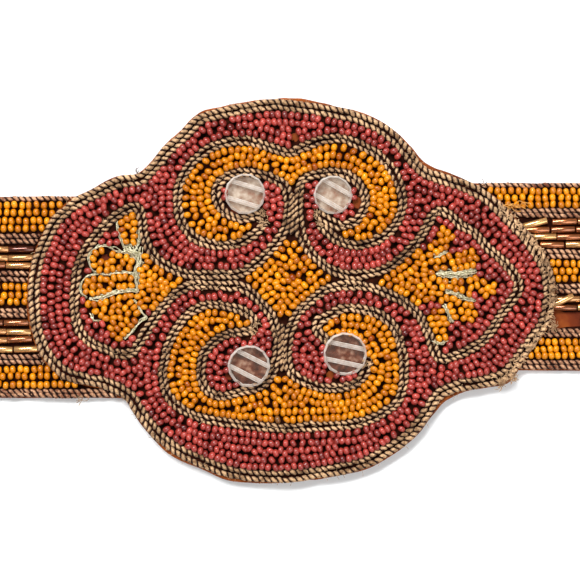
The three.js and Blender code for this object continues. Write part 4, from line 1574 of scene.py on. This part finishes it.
def stray_fibre(spot, length, rng):
    """One short fibre that leaves a cord at a spot, outwards more often than not, and curls."""
    steps = np.linspace(0, 1, 5)
    start = spot + rng.normal(0, 0.35, 2)
    heading = math.atan2(spot[1], spot[0]) + rng.normal(0, 1.2) + rng.normal(0, 0.9) * steps
    height = PANEL_TOP + CORD * 0.75 + rng.uniform(-0.4, 0.8) * steps
    out = np.column_stack([np.cos(heading), np.sin(heading)]) * (length * steps)[:, None]
    return np.column_stack([start + out, height])


class BELT_OT_clasp(bpy.types.Operator):
    """Gives the two clasp plates their plated finish and sews them to the leather"""

    bl_idname = "belt.clasp"
    bl_label = "Clasp"

    def execute(self, context):
        rng = np.random.default_rng(61)
        for node in ("clasp_hook", "clasp_eye"):
            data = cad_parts[node].data
            data.materials.clear()
            data.materials.append(finish("metal"))
        lines = self.stitches("clasp_hook", -1, rng) + self.stitches("clasp_eye", 1, rng)
        sew_thread("clasp_stitches", lines, 0.34, 5, "thread")
        return {"FINISHED"}

    @staticmethod
    def stitches(node, sign, rng):
        """Loops of thread from each sewing hole over the plate's edge into the leather."""
        low, high = box_mm(node)
        middle, width = (low[1] + high[1]) / 2, high[1] - low[1]
        leather_end = box_mm("strap_leather")[1][0]
        lines = []
        for inwards_share in (0.25, 0.75):
            for side in (-1, 1):
                x = sign * (leather_end - 12 * inwards_share)
                hole, edge = middle + side * 0.38 * width, middle + side * 0.5 * width
                for _ in range(6):
                    shift = rng.normal(0, 0.4, 2)
                    top = LEATHER + 1.2 + rng.uniform(0.1, 0.35)
                    lines.append(
                        np.array([
                            (x + shift[0] / 2, hole, LEATHER), (x + shift[0] / 2, hole + side * 0.4, top),
                            (x + shift[1], edge - side * 0.1, top),
                            (x + shift[1], edge + side * 0.6, top - 0.6),
                            (x + shift[1], edge + side * rng.uniform(0.8, 1.4), LEATHER - 0.2),
                        ])
                    )
        return lines


class BELT_PT_parts(bpy.types.Panel):
    bl_idname = "BELT_PT_parts"
    bl_label = "Beaded belt"
    bl_space_type = "VIEW_3D"
    bl_region_type = "UI"
    bl_category = "Belt"

    def draw(self, context):
        for group in (context.scene.belt_sizes, context.scene.belt_colours, context.scene.belt_stage):
            for name in group.__annotations__:
                self.layout.prop(group, name)
        for operator in OPERATORS:
            self.layout.operator(operator.bl_idname)


OPERATORS = (
    BELT_OT_stage, BELT_OT_leather, BELT_OT_panel_cords, BELT_OT_panel_beads, BELT_OT_band_beads,
    BELT_OT_band_cords, BELT_OT_stones, BELT_OT_threads, BELT_OT_clasp,
)
CLASSES = (BeltSizes, BeltColours, BeltStage, *OPERATORS, BELT_PT_parts)


def register():
    for item in CLASSES:
        bpy.utils.register_class(item)
    bpy.types.Scene.belt_sizes = PointerProperty(type=BeltSizes)
    bpy.types.Scene.belt_colours = PointerProperty(type=BeltColours)
    bpy.types.Scene.belt_stage = PointerProperty(type=BeltStage)


def unregister():
    del bpy.types.Scene.belt_stage
    del bpy.types.Scene.belt_colours
    del bpy.types.Scene.belt_sizes
    for item in reversed(CLASSES):
        bpy.utils.unregister_class(item)


def main():
    register()
    for operator in OPERATORS:
        group, name = operator.bl_idname.split(".")
        getattr(getattr(bpy.ops, group), name)()


if __name__ == "__main__":
    main()
